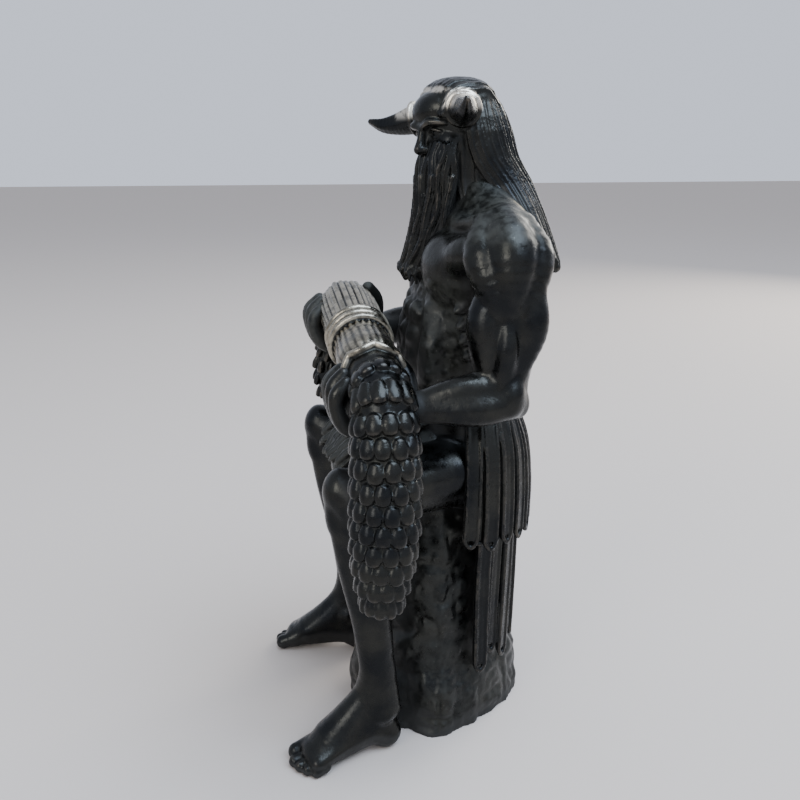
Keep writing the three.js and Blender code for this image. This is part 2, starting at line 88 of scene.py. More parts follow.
class Clay:
    """Distances to the surface on a regular grid. Forms are added to it with soft or crisp joins."""

    def __init__(self, low, high, step):
        self.low = np.array(low, float)
        self.step = step
        self.count = np.ceil((np.array(high) - self.low) / step).astype(int) + 1
        self.field = np.full(self.count, FAR, np.float32)

    def span(self, low, high):
        first = np.floor((np.array(low) - self.low) / self.step).astype(int)
        last = np.ceil((np.array(high) - self.low) / self.step).astype(int) + 1
        return np.clip(first, 0, self.count), np.clip(last, 0, self.count)

    def places(self, first, last):
        lines = [self.low[i] + self.step * np.arange(first[i], last[i]) for i in range(3)]
        x, y, z = [line.astype(np.float32) for line in lines]
        return x[:, None, None], y[None, :, None], z[None, None, :]

    def join(self, first, distance, soft, carve=False):
        last = first + np.array(distance.shape)
        cut = tuple(slice(a, b) for a, b in zip(first, last))
        field = self.field[cut]
        if carve:
            distance = -distance
        overlap = np.clip(1 - np.abs(field - distance) / soft, 0, None)
        if carve:
            self.field[cut] = np.maximum(field, distance) + overlap**2 * soft / 4
        else:
            self.field[cut] = np.minimum(field, distance) - overlap**2 * soft / 4

    def lump(self, centre, radii, soft, turn=(0, 0, 0), carve=False):
        centre = np.array(centre, float)
        pad = max(radii) + soft + 2 * self.step
        first, last = self.span(centre - pad, centre + pad)
        x, y, z = self.places(first, last)
        away = (x - centre[0], y - centre[1], z - centre[2])
        near = 0
        steep = 0
        for axis, radius in zip(turned(turn).T, radii):
            along = away[0] * axis[0] + away[1] * axis[1] + away[2] * axis[2]
            near = near + (along / radius) ** 2
            steep = steep + (along / radius**2) ** 2
        near = np.sqrt(near)
        distance = near * (near - 1) / (np.sqrt(steep) + 1e-5)
        self.join(first, distance.astype(np.float32), soft, carve)

    def stroke(self, stations, soft, across=ALONG_X, pieces=4, carve=False, flutes=0, depth=0.0):
        """A rounded form along a curve. Each station is x, y, z, half width, half depth. Flutes are
        that many grooves along it."""
        rows = smooth(stations, pieces)
        reach = rows[:, 3:5].max(axis=1)[:, None] + soft + depth + 2 * self.step
        first, last = self.span((rows[:, :3] - reach).min(axis=0), (rows[:, :3] + reach).max(axis=0))
        distance = np.full(last - first, 2 * FAR, np.float32)
        for row, following, pad in zip(rows[:-1], rows[1:], np.maximum(reach[:-1], reach[1:])):
            start = row[:3]
            run = following[:3] - start
            length = np.linalg.norm(run)
            direction = run / length
            wide = unit(across - direction * np.dot(across, direction))
            deep = np.cross(direction, wide)
            head, tail = self.span(
                np.minimum(start, following[:3]) - pad, np.maximum(start, following[:3]) + pad
            )
            head = np.maximum(head, first)
            tail = np.minimum(tail, last)
            if (tail <= head).any():
                continue
            x, y, z = self.places(head, tail)
            away = (x - start[0], y - start[1], z - start[2])
            along = away[0] * direction[0] + away[1] * direction[1] + away[2] * direction[2]
            share = np.clip(along / length, 0, 1)
            half_wide = row[3] + (following[3] - row[3]) * share
            half_deep = row[4] + (following[4] - row[4]) * share
            cap = np.minimum(half_wide, half_deep)
            side = (away[0] * wide[0] + away[1] * wide[1] + away[2] * wide[2]) / half_wide
            rise = (away[0] * deep[0] + away[1] * deep[1] + away[2] * deep[2]) / half_deep
            beyond = (along - share * length) / cap
            near = np.sqrt(side**2 + rise**2 + beyond**2)
            steep = (side / half_wide) ** 2 + (rise / half_deep) ** 2 + (beyond / cap) ** 2
            value = near * (near - 1) / (np.sqrt(steep) + 1e-5)
            if flutes:
                value += depth * np.cos(flutes * np.arctan2(rise, side))
            part = tuple(slice(a, b) for a, b in zip(head - first, tail - first))
            distance[part] = np.minimum(distance[part], value)
        self.join(first, distance, soft, carve)

    def noise(self, shape, cell, seed):
        """Smooth noise between -1 and 1 on a block of the field; cell is its grain in millimetres."""
        source = np.random.default_rng(seed)
        coarse = [int(math.ceil(count * self.step / cell)) + 2 for count in shape]
        values = source.uniform(-1, 1, coarse).astype(np.float32)
        for axis, count in enumerate(shape):
            place = np.arange(count) * self.step / cell
            low = place.astype(int)
            share = (place - low).astype(np.float32)
            share = share * share * (3 - 2 * share)
            sides = [1, 1, 1]
            sides[axis] = count
            share = share.reshape(sides)
            values = np.take(values, low, axis) * (1 - share) + np.take(values, low + 1, axis) * share
        return values

    def roughen(self, low, high, cell, depth, seed):
        """Uneven skin within a box, fading out towards the box's faces."""
        first, last = self.span(low, high)
        fade = 1
        for line, start, end in zip(self.places(first, last), low, high):
            share = np.abs(line - (start + end) / 2) / ((end - start) / 2)
            fade = fade * np.clip((1 - share) * 4, 0, 1)
        cut = tuple(slice(a, b) for a, b in zip(first, last))
        self.field[cut] += fade * depth * self.noise(last - first, cell, seed)

    def flatten_underside(self):
        z = self.low[2] + self.step * np.arange(self.count[2])
        self.field = np.maximum(self.field, -z.astype(np.float32)[None, None, :])


# Trunk

TRUNK = [
    (0, 5.4, 27.0, 8.2, 6.0),
    (0, 5.6, 31.0, 7.3, 5.2),
    (0, 5.6, 35.5, 6.9, 4.9),
    (0, 5.9, 40.0, 7.3, 5.0),
    (0, 6.8, 44.0, 8.6, 5.0),
    (0, 7.4, 48.2, 9.4, 4.7),
    (0, 7.4, 51.6, 6.0, 3.4),
    (0.2, 6.6, 55.4, 2.7, 2.4),
]
RIGHT_BACK = 1.3


def build_trunk(clay):
    clay.stroke(TRUNK, 0.1, pieces=3)
    clay.lump((0, 4.6, 37.4), (5.4, 4.2, 5.4), 1.2)
    for side in SIDES:
        back = 0 if side > 0 else RIGHT_BACK
        half = back * 0.5
        # Neck to shoulder, collar bone and shoulder blade
        clay.stroke([
            (side * 1.8, 7.6, 54.0, 1.5, 1.6),
            (side * 4.6, 7.7 + half, 51.9, 1.8, 2.1),
            (side * 7.8, 7.5 + half, 50.9, 1.9, 2.2),
            (side * 10.8, 6.9 + back, 50.4, 1.9, 2.3),
        ], 1.0, UP)
        clay.stroke(tube([
            (side * 1.4, 4.6, 50.7, 0.45),
            (side * 5.0, 4.2 + half, 50.7, 0.5),
            (side * 8.6, 4.7 + half, 51.0, 0.5),
            (side * 10.8, 5.8 + back, 51.4, 0.6),
        ]), 1.1)
        clay.lump((side * 6.0, 9.4 + half, 47.2), (4.2, 2.7, 4.6), 0.9, (0, side * 12, side * -14))
        # Chest
        clay.lump((side * 4.6, 4.35 + half, 46.5), (4.5, 3.0, 3.7), 0.35, (0, side * 16, side * 12))
        clay.stroke(tube([
            (side * 6.2, 4.0 + half, 47.4, 1.9),
            (side * 8.6, 4.4 + half, 48.2, 1.9),
            (side * 11.0, 5.4 + back, 48.6, 1.7),
        ]), 0.7)
        clay.lump((side * 5.3, 1.75 + half, 45.3), (0.55, 0.3, 0.5), 0.25)
        # Broad back muscle under the arm, and the saw teeth of the ribs before it
        clay.stroke(tube([
            (side * 9.4, 8.6 + half, 47.0, 1.6),
            (side * 8.0, 8.6, 43.4, 1.5),
            (side * 6.4, 8.0, 39.0, 1.3),
            (side * 5.0, 7.6, 35.0, 1.0),
        ]), 1.2)
        for rib in range(4):
            place = (side * (7.5 - rib * 0.16), 4.6 + rib * 0.35, 43.6 - rib * 1.45)
            clay.lump(place, (0.7, 1.6, 0.6), 0.6, (side * 24, 0, side * 16))
        # Belly and loins
        for row, rise in enumerate((42.0, 39.7, 37.4)):
            clay.lump((side * 1.5, 1.35 - row * 0.22, rise), (1.5, 0.75, 1.2), 0.35)
        clay.stroke(tube([
            (side * 4.0, 2.4, 42.6, 0.9),
            (side * 4.8, 2.0, 39.4, 1.2),
            (side * 4.8, 1.9, 36.2, 1.2),
        ]), 0.8)
        clay.stroke(tube([
            (side * 1.9, 9.5, 33.0, 1.5),
            (side * 1.9, 9.9, 37.0, 1.5),
            (side * 2.0, 10.6, 42.0, 1.4),
            (side * 2.0, 10.9, 46.0, 1.2),
        ]), 0.9)
    clay.stroke(tube([(0, 1.1, 46.4, 0.35), (0, 0.6, 42.0, 0.28), (0, 0.15, 36.6, 0.22)]), 0.5, carve=True)
    clay.stroke(tube([(0, 11.7, 33.4, 0.5), (0, 12.2, 40.0, 0.5), (0, 12.7, 47.0, 0.4)]), 0.8, carve=True)
    clay.lump((0, 0.3, 36.3), (0.35, 0.6, 0.4), 0.2, carve=True)
    for cell, depth, seed in ((1.3, 0.13, 61), (0.5, 0.07, 62)):
        clay.roughen((-8, -1.5, 33), (8.6, 7, 46), cell, depth, seed)


# Limbs: each muscle runs along a bone as share of its length, ahead, outwards and radius

UPPER_ARM = {
    "bone": [(0.0, 0, 0, 2.2), (0.5, 0, 0, 2.0), (1.0, 0, 0, 1.9)],
    "deltoid front": [
        (-0.1, 1.4, -1.3, 1.2), (0.1, 2.0, 0.1, 1.8), (0.32, 1.3, 1.2, 1.35), (0.5, 0.5, 1.4, 0.6),
    ],
    "deltoid middle": [
        (-0.13, -0.1, -0.9, 1.3), (0.06, 0.0, 1.3, 2.1), (0.29, 0.1, 1.7, 1.6), (0.5, 0.2, 1.5, 0.6),
    ],
    "deltoid rear": [
        (-0.1, -1.7, -1.0, 1.2), (0.1, -2.1, 0.6, 1.8), (0.32, -1.4, 1.3, 1.35), (0.5, -0.4, 1.4, 0.6),
    ],
    "biceps": [(0.3, 1.3, 0.3, 1.3), (0.5, 1.75, 0.3, 1.75), (0.7, 1.6, 0.2, 1.6), (0.9, 1.3, 0.1, 1.0)],
    "biceps inner": [
        (0.3, 1.1, -0.9, 1.2), (0.5, 1.4, -1.1, 1.5), (0.7, 1.2, -1.0, 1.3), (0.9, 1.0, -0.6, 0.9),
    ],
    "brachialis": [(0.5, 0.3, 1.7, 0.7), (0.66, 0.4, 1.8, 0.95), (0.8, 0.6, 1.5, 0.9), (0.92, 0.9, 1.1, 0.8)],
    "triceps outer": [
        (0.2, -1.3, 0.9, 1.3), (0.42, -1.7, 1.3, 1.55), (0.58, -1.7, 1.3, 1.45), (0.82, -1.1, 0.6, 0.8),
    ],
    "triceps long": [
        (0.2, -1.2, -0.6, 1.3), (0.45, -1.8, -0.6, 1.6), (0.66, -1.7, -0.5, 1.35), (0.9, -1.1, 0, 0.9),
    ],
}
FOREARM = {
    "bone": [(0.0, 0, 0, 1.9), (0.3, 0, 0, 1.9), (0.65, 0, 0, 1.4), (1.0, 0, 0, 1.1)],
    "top": [(-0.04, 1.2, 0.9, 1.0), (0.2, 1.25, 0.7, 1.3), (0.46, 1.05, 0.5, 1.25), (0.76, 0.4, 0.3, 0.85)],
    "inner": [(0.0, 0.3, -0.8, 1.5), (0.25, 0.3, -0.9, 1.75), (0.6, 0.0, -0.7, 1.25), (1.0, 0.0, -0.3, 0.9)],
    "outer": [(0.0, -0.2, 1.0, 1.4), (0.25, -0.4, 1.0, 1.6), (0.6, -0.3, 0.8, 1.2), (1.0, 0.0, 0.4, 0.8)],
}
THIGH = {
    "bone": [(0.0, 0, 0, 3.4), (0.35, 0, 0, 3.1), (0.75, 0, 0, 2.7), (1.0, 0, 0, 2.5)],
    "outer": [(0.1, 0.4, 1.0, 2.4), (0.45, 0.5, 1.1, 2.3), (0.75, 0.4, 0.8, 1.9), (0.95, 0.1, 0.5, 1.2)],
    "inner": [(0.35, 0.5, -1.0, 2.0), (0.65, 0.5, -1.1, 1.9), (0.85, 0.3, -1.0, 1.5), (0.98, 0.0, -0.7, 1.0)],
    "top": [(0.1, 1.0, 0, 2.2), (0.5, 1.1, 0, 2.1), (0.8, 1.0, 0, 1.5), (0.96, 1.2, 0, 0.9)],
    "under": [(0.1, -0.8, 0.3, 2.4), (0.5, -0.9, 0.4, 2.1), (0.8, -0.9, 0.6, 1.4), (1.0, -1.2, 0.7, 0.9)],
}
SHIN = {
    "bone": [(0.0, 0, 0, 2.2), (0.25, 0, 0, 2.1), (0.6, 0, 0, 1.6), (1.0, 0, 0, 1.5)],
    "edge": [(0.04, 1.8, 0, 0.9), (0.3, 1.5, 0.1, 0.9), (0.6, 0.9, 0.1, 0.7), (0.9, 0.6, 0.1, 0.8)],
    "calf inner": [
        (0.05, -0.9, -0.8, 1.3), (0.25, -1.2, -0.8, 1.7), (0.45, -1.0, -0.7, 1.4), (0.7, -0.7, -0.2, 0.9),
    ],
    "calf outer": [
        (0.05, -0.8, 0.8, 1.2), (0.25, -1.0, 0.9, 1.6), (0.42, -0.8, 0.8, 1.3), (0.7, -0.6, 0.3, 0.9),
    ],
    "heel cord": [(0.6, -0.9, 0.0, 0.8), (0.8, -1.0, 0.0, 0.75), (1.0, -1.0, 0.0, 0.85)],
}
LEFT_SHOULDER = (12.0, 6.6, 49.6)
LEFT_ELBOW = (13.2, 6.4, 36.4)
LEFT_WRIST = (12.0, -3.2, 35.6)
RIGHT_SHOULDER = (-12.0, 7.9, 49.6)
RIGHT_ELBOW = (-13.2, 6.9, 37.4)
RIGHT_WRIST = (-7.2, -3.7, 38.9)
LEFT_HIP = (5.2, 6.0, 27.4)
LEFT_KNEE = (9.2, -6.2, 26.8)
LEFT_ANKLE = (9.4, -3.8, 4.6)
RIGHT_HIP = (-5.2, 6.0, 27.6)
RIGHT_KNEE = (-10.0, -5.7, 27.4)
RIGHT_ANKLE = (-10.3, -3.0, 4.6)


def build_limb(clay, muscles, start, end, ahead, side, soft):
    start = np.array(start, float)
    run = np.array(end, float) - start
    axis = unit(run)
    front = unit(ahead - axis * np.dot(ahead, axis))
    outwards = np.cross(front, axis)
    if outwards[0] * side < 0:
        outwards = -outwards
    for stations in muscles.values():
        rows = []
        for share, forward, out, radius in stations:
            rows.append((*(start + run * share + front * forward + outwards * out), radius))
        clay.stroke(tube(rows), soft)


def build_arms(clay):
    for side, shoulder, elbow, wrist in (
        (1, LEFT_SHOULDER, LEFT_ELBOW, LEFT_WRIST),
        (-1, RIGHT_SHOULDER, RIGHT_ELBOW, RIGHT_WRIST),
    ):
        build_limb(clay, UPPER_ARM, shoulder, elbow, -ALONG_Y, side, 0.45)
        build_limb(clay, FOREARM, elbow, wrist, UP, side, 0.45)
        x, y, z = elbow
        clay.lump((x + side * 0.1, y + 1.3, z - 0.7), (0.95, 0.85, 1.1), 0.6)
        clay.lump((x + side * 1.5, y + 0.2, z + 0.7), (0.8, 0.8, 0.8), 0.7)
        clay.lump((x - side * 1.6, y + 0.2, z + 0.1), (0.8, 0.8, 0.8), 0.7)
    # A casting pit in the near shoulder
    clay.lump((13.4, 3.4, 49.9), (0.5, 0.14, 0.24), 0.08, (0, 0, 20), carve=True)


TOES = [
    (1.4, 9.4, 0.82),
    (0.3, 9.7, 0.6),
    (-0.6, 9.4, 0.55),
    (-1.4, 8.9, 0.52),
    (-2.05, 8.2, 0.48),
]


def build_foot(clay, heel, splay, inner):
    """A foot pointing along -Y from its heel; inner is the side of its great toe."""
    swing = turned((0, 0, splay))
    across = swing @ ALONG_X

    def placed(rows):
        middle = np.array((heel[0], heel[1], 0))
        return [(*(swing @ np.array(row[:3], float) + middle), *row[3:]) for row in rows]

    clay.stroke(placed([
        (0, 0.2, 1.5, 1.5, 1.6),
        (0, -1.6, 3.0, 1.6, 2.5),
        (-0.1 * inner, -4.2, 2.3, 1.75, 2.1),
        (-0.15 * inner, -7.2, 1.25, 2.15, 1.3),
    ]), 0.6, across)
    clay.stroke(placed([
        (0, -0.7, 8.6, 1.3, 1.35),
        (0, -1.6, 5.9, 1.5, 1.7),
        (inner * 0.2, -3.4, 4.0, 1.6, 1.6),
        (inner * 0.6, -5.6, 2.5, 1.5, 1.1),
    ]), 0.9, across)
    for number, (offset, reach, thick) in enumerate(TOES):
        clay.stroke(placed(tube([
            (inner * offset * 0.5, -4.0, 3.5 - number * 0.3, 0.4),
            (inner * offset * 0.85, -6.2, 2.15 - number * 0.12, 0.42),
            (inner * offset * 0.95, -7.6, 1.3, thick * 0.85),
        ])), 0.5, across)
        clay.stroke(placed(tube([
            (inner * offset * 0.95, -7.0, 1.1, thick * 0.9),
            (inner * offset, -reach + 1.5, thick + 0.3, thick * 0.88),
            (inner * offset, -reach + thick, thick, thick),
        ])), 0.2, across)
        nail = placed([(inner * offset, -reach + thick * 0.6, thick * 1.72)])[0]
        clay.lump(nail, (thick * 0.55, thick * 0.5, 0.14), 0.08, (30, 0, splay))
    for side, rise in ((1, 4.6), (-1, 5.1)):
        ankle = placed([(side * 1.3, -0.7, rise)])[0]
        clay.lump(ankle, (0.5, 0.7, 0.75), 0.8)


def build_legs(clay):
    for side, hip, knee, ankle in (
        (1, LEFT_HIP, LEFT_KNEE, LEFT_ANKLE),
        (-1, RIGHT_HIP, RIGHT_KNEE, RIGHT_ANKLE),
    ):
        build_limb(clay, THIGH, hip, knee, UP, side, 0.6)
        build_limb(clay, SHIN, knee, ankle, -ALONG_Y, side, 0.6)
        x, y, z = knee
        clay.lump((x, y - 1.7, z + 1.1), (1.4, 1.0, 1.6), 1.0, (-18, 0, 0))
        clay.lump((x, y - 1.8, z - 2.0), (0.9, 0.7, 1.2), 0.8)
    build_foot(clay, (8.7, -3.5), 12, -1)
    build_foot(clay, (-10.1, -3.1), -18, 1)


# Hands round the sheaf: each finger is a side offset, length and radius

FINGERS = [(-1.5, 0.92, 0.7), (-0.5, 1.0, 0.75), (0.5, 0.98, 0.74), (1.5, 0.88, 0.66)]
LEFT_KNUCKLES = (9.4, -4.8, 34.1)
RIGHT_KNUCKLES = (-5.1, -4.8, 38.5)


def build_hand(clay, knuckles, side, wrist, tall):
    """Fingers from the palm below the sheaf, up round its front."""
    x, y, z = knuckles
    clay.stroke([
        (*wrist, 1.25, 1.05),
        ((wrist[0] + x) / 2 + side * 0.3, (wrist[1] + y) / 2 + 0.5, (wrist[2] + z) / 2 - 0.3, 1.9, 1.2),
        (x, y + 0.6, z + 0.1, 2.4, 1.1),
        (x, y - 1.0, z + 0.6, 2.5, 0.9),
    ], 0.5)
    clay.lump((x, y - 1.5, z + 1.3 * tall), (2.7, 1.5, 1.7), 0.4)
    for offset, length, thick in FINGERS:
        column = x + offset * 1.3
        lean = offset * 0.1
        clay.stroke(tube([
            (column, y + 1.4, z - 0.3, thick * 0.95),
            (column, y - 0.8, z - 0.5, thick * 1.05),
            (column + lean, y - 2.45, z + 0.1, thick * 1.15),
            (column + lean, y - 3.2, z + 1.9 * tall * length, thick * 0.96),
            (column + lean, y - 3.1, z + 3.3 * tall * length, thick * 1.04),
            (column, y - 2.3, z + 4.4 * tall * length, thick * 0.85),
        ]), 0.1, pieces=3)
        nail = (column, y - 2.65, z + 4.55 * tall * length)
        clay.lump(nail, (thick * 0.55, 0.16, thick * 0.6), 0.06, (-52, 0, 0))
    clay.stroke(tube([
        (x + side * 1.4, y + 2.3, z + 0.4, 1.0),
        (x + side * 0.9, y + 3.3, z + 2.0, 0.9),
        (x + side * 0.2, y + 3.3, z + 3.8, 0.82),
        (x - side * 0.5, y + 2.5, z + 5.1, 0.66),
    ]), 0.2)


# Head: measures are sideways, forwards and upwards from the middle of the head

HEAD_CENTRE = np.array((0.3, 5.6, 58.8))
HEAD_TURN = (7, -5, 20)
HEAD_MATRIX = turned((0, 0, 20)) @ turned((7, 0, 0)) @ turned((0, -5, 0))


def on_head(side, ahead, rise):
    return HEAD_MATRIX @ np.array((side, -ahead, rise), float) + HEAD_CENTRE


def head_stroke(clay, rows, soft, across=UP, pieces=3, **more):
    placed = [(*on_head(*row[:3]), *row[3:]) for row in rows]
    clay.stroke(tube(placed) if len(placed[0]) == 4 else placed, soft, across, pieces, **more)


def head_lump(clay, centre, radii, soft, carve=False):
    clay.lump(on_head(*centre), radii, soft, HEAD_TURN, carve)


UPPER_LID = [(0.62, 3.62, 0.1, 0.12), (1.25, 3.84, 0.36, 0.14), (1.95, 3.4, 0.06, 0.12)]
LOWER_LID = [(0.66, 3.58, -0.16, 0.1), (1.25, 3.7, -0.42, 0.11), (1.9, 3.34, -0.14, 0.1)]
BROW = [(0.42, 4.2, 0.72, 0.28), (1.35, 4.12, 0.98, 0.32), (2.45, 3.2, 0.72, 0.22)]


def build_face(clay):
    head_lump(clay, (0, -0.1, 0.1), (3.4, 3.9, 3.6), 0.1)
    head_lump(clay, (0, 1.2, -1.8), (2.8, 2.8, 3.0), 1.0)
    head_lump(clay, (0, 2.1, 1.9), (2.7, 2.25, 1.9), 0.6)
    for side in SIDES:
        head_lump(clay, (side * 1.95, 2.55, -0.9), (0.95, 0.95, 0.85), 0.6)
        head_lump(clay, (side * 1.3, 4.25, -0.05), (0.95, 0.75, 0.6), 0.4, carve=True)
        head_lump(clay, (side * 1.25, 3.12, -0.05), (0.66, 0.62, 0.5), 0.08)
        for rows, soft in (UPPER_LID, 0.06), (LOWER_LID, 0.06), (BROW, 0.35):
            head_stroke(clay, [(side * out, *rest) for out, *rest in rows], soft)
        head_lump(clay, (side * 0.46, 4.25, -1.3), (0.36, 0.42, 0.3), 0.2)
    head_stroke(clay, [(0, 4.05, 0.7, 0.34), (0, 4.4, -0.4, 0.38), (0, 4.75, -1.2, 0.48)], 0.3)
    head_lump(clay, (0, 3.85, -2.75), (0.85, 0.5, 0.24), 0.15)


HORN = [
    (2.6, 1.2, 1.7, 1.45, 1.45),
    (3.9, 2.1, 1.65, 1.35, 1.35),
    (5.3, 3.0, 1.5, 1.05, 1.0),
    (6.8, 3.9, 1.6, 0.7, 0.66),
    (8.1, 4.6, 2.15, 0.28, 0.28),
]
RING_AT = 1
RING_RADIUS = 1.42


def build_horns(clay):
    for side in SIDES:
        rows = [(side * out, *rest) for out, *rest in HORN]
        head_stroke(clay, rows, 0.15, UP, pieces=4, flutes=5, depth=0.04)
        base = np.array(HORN[RING_AT][:3]) * (side, 1, 1)
        run = unit((np.array(HORN[RING_AT + 1][:3]) - np.array(HORN[RING_AT - 1][:3])) * (side, 1, 1))
        level = unit(np.cross(run, UP))
        rise = np.cross(level, run)
        ring = []
        for step in range(25):
            angle = step / 24 * math.tau
            place = base + (rise * math.cos(angle) + level * math.sin(angle)) * RING_RADIUS
            ring.append((*place, 0.27))
        head_stroke(clay, ring, 0.1, ALONG_X, pieces=1)


# Hair: a cap combed back from the brow, and a mantle of strands down the back

CAP = {"centre": (0.5, 5.3, 60.3), "half": (3.75, 3.15, 3.1), "bluntness": 2.6}
MANE = [
    (0.2, 6.5, 62.0, 2.9, 1.9),
    (0.2, 6.4, 60.8, 4.0, 3.0),
    (0.2, 6.7, 58.6, 4.7, 3.75),
    (0.1, 7.5, 56.2, 4.95, 3.65),
    (0, 9.0, 54.0, 5.4, 3.45),
    (0, 10.0, 51.8, 6.6, 3.15),
    (0, 10.9, 49.5, 7.4, 2.95),
    (0, 11.7, 47.7, 7.6, 2.7),
]
STRANDS = 19


def cap_top(across, along):
    """Height of the cap over a point given across and along the way he faces."""
    side, back, rise = CAP["half"]
    blunt = CAP["bluntness"]
    left = 1 - abs(across / side) ** blunt - abs(along / back) ** blunt
    return CAP["centre"][2] + rise * max(left, 0.0) ** (1 / blunt)


def build_cap(clay):
    source = np.random.default_rng(42)
    swing = turned((0, 0, 14))
    centre = np.array(CAP["centre"])
    first, last = clay.span(centre - 4.6, centre + 4.6)
    x, y, z = clay.places(first, last)
    across = (x - centre[0]) * swing[0, 0] + (y - centre[1]) * swing[1, 0]
    along = (x - centre[0]) * swing[0, 1] + (y - centre[1]) * swing[1, 1]
    blunt = CAP["bluntness"]
    spread = 0
    for away, half in zip((across, along, z - centre[2]), CAP["half"]):
        spread = spread + np.abs(away / half) ** blunt
    spread = spread ** (1 / blunt)
    clay.join(first, ((spread - 1) * 3.0).astype(np.float32), 0.12)
    for comb in range(-6, 7):
        offset = comb * 0.54
        sway = source.uniform(-0.18, 0.18)
        rows = []
        for step in range(9):
            along = -2.95 + 5.9 * step / 8
            across = offset * (1 - 0.12 * abs(step - 4) / 4) + sway * math.sin(step * 0.8)
            height = cap_top(across, along)
            place = swing @ np.array((across, along, 0)) + (centre[0], centre[1], 0)
            rows.append((place[0], place[1], height - 0.24, 0.3, 0.3))
        clay.stroke(rows, 0.1, pieces=1, flutes=5, depth=0.03)


def mane_path(angle, inset, wave, phase):
    points = []
    for row, (x, y, z, wide, deep) in enumerate(smooth(MANE, 2)):
        swing = angle + wave * math.sin(row * 0.62 + phase) / max(wide, 1)
        points.append((x + math.sin(swing) * (wide - inset), y + math.cos(swing) * (deep - inset), z))
    return points


def build_mane(clay):
    source = np.random.default_rng(41)
    clay.stroke([(x, y, z, wide - 0.75, deep - 0.75) for x, y, z, wide, deep in MANE], 0.3, pieces=3)
    half_arc = math.radians(114)
    for strand in range(STRANDS):
        angle = half_arc * ((2 * strand + 1) / STRANDS - 1)
        points = mane_path(angle, 0.5, source.uniform(0.12, 0.26), source.uniform(0, 6))
        thick = source.uniform(0.46, 0.56)
        lift = source.uniform(-0.05, 0.12)
        rows = []
        for row, point in enumerate(points):
            share = row / (len(points) - 1)
            rows.append((*point, thick * (0.7 + 0.36 * share), 0.5 + lift + 0.1 * share))
        x, y, z = points[-1]
        # The locks towards the near side hang lowest and end thick
        low = math.exp(-(((angle - 1.0) / 0.5) ** 2))
        drop = source.uniform(0.2, 1.0) + 0.5 * low
        bend = source.uniform(-0.3, 0.3)
        rows.append((x + bend, y + 0.1 + 0.25 * low, z - drop * 0.6, thick * 0.95, 0.55))
        tip = (x + bend * 1.5, y + 0.1 + 0.3 * low, z - drop)
        rows.append((*tip, thick * (0.55 + 0.4 * low), 0.3 + 0.25 * low))
        clay.stroke(rows, 0.07, pieces=1, flutes=9, depth=0.05)
    for side in SIDES:
        for lock in range(2):
            back = lock * 1.2
            clay.stroke([
                (0.3 + side * (2.9 + 0.3 * lock), 4.9 + back, 60.0, 0.5, 0.7),
                (0.3 + side * (3.1 + 0.3 * lock), 5.2 + back, 57.0, 0.5, 0.75),
                (side * (3.3 + 0.4 * lock), 5.4 + back, 54.0, 0.5, 0.75),
                (side * (3.8 + 0.5 * lock), 5.8 + back, 51.6, 0.4, 0.6),
            ], 0.15, flutes=7, depth=0.05)


# Beard and moustache

BEARD = [
    (1.3, 3.7, 57.4, 2.9, 1.7),
    (1.2, 3.6, 55.4, 3.2, 2.25),
    (0.7, 3.5, 52.0, 3.3, 2.2),
    (-0.1, 3.1, 49.2, 3.2, 2.1),
    (-1.2, 2.4, 46.4, 2.7, 1.95),
]
BEARD_STRANDS = 12


def build_beard(clay):
    source = np.random.default_rng(51)
    clay.stroke([(x, y, z, wide - 0.5, deep - 0.5) for x, y, z, wide, deep in BEARD], 0.2, pieces=3)
    rows = smooth(BEARD, 4)
    for layer, inset in ((0, 0.45), (1, 0.1)):
        for strand in range(BEARD_STRANDS - layer * 3):
            angle = math.radians(118) * ((2 * strand + 1 + layer) / (BEARD_STRANDS - layer * 2) - 1)
            phase = source.uniform(0, 6)
            wave = source.uniform(0.16, 0.28)
            thick = source.uniform(0.4, 0.5) if layer == 0 else source.uniform(0.24, 0.32)
            begin = 0 if layer == 0 else int(source.integers(0, 6))
            points = []
            for row, (x, y, z, wide, deep) in enumerate(rows[begin:]):
                swing = angle * (1 - 0.012 * row) + wave * math.sin(row * 0.9 + phase) / wide
                place = (x + math.sin(swing) * (wide - inset), y - math.cos(swing) * (deep - inset), z)
                points.append((*place, thick, thick))
            x, y, z = points[-1][:3]
            drop = source.uniform(0.4, 1.7)
            curl = source.uniform(-0.5, 0.5)
            points.append((x + curl * 0.5, y - 0.3, z - drop * 0.5, thick * 0.95, thick * 0.95))
            points.append((x + curl, y - 0.1, z - drop, thick * 0.5, thick * 0.5))
            clay.stroke(points, 0.07, pieces=1, flutes=6, depth=0.05)
    for side in SIDES:
        for hair in range(3):
            head_stroke(clay, [
                (side * 0.15, 4.1 - hair * 0.1, -1.85 - hair * 0.16, 0.24),
                (side * 1.1, 3.95 - hair * 0.1, -2.15 - hair * 0.3, 0.3),
                (side * 2.0, 3.35 - hair * 0.05, -3.1 - hair * 0.45, 0.28),
                (side * 2.4, 3.2, -4.6 - hair * 0.4, 0.16),
            ], 0.1)


# Sheaf of grain

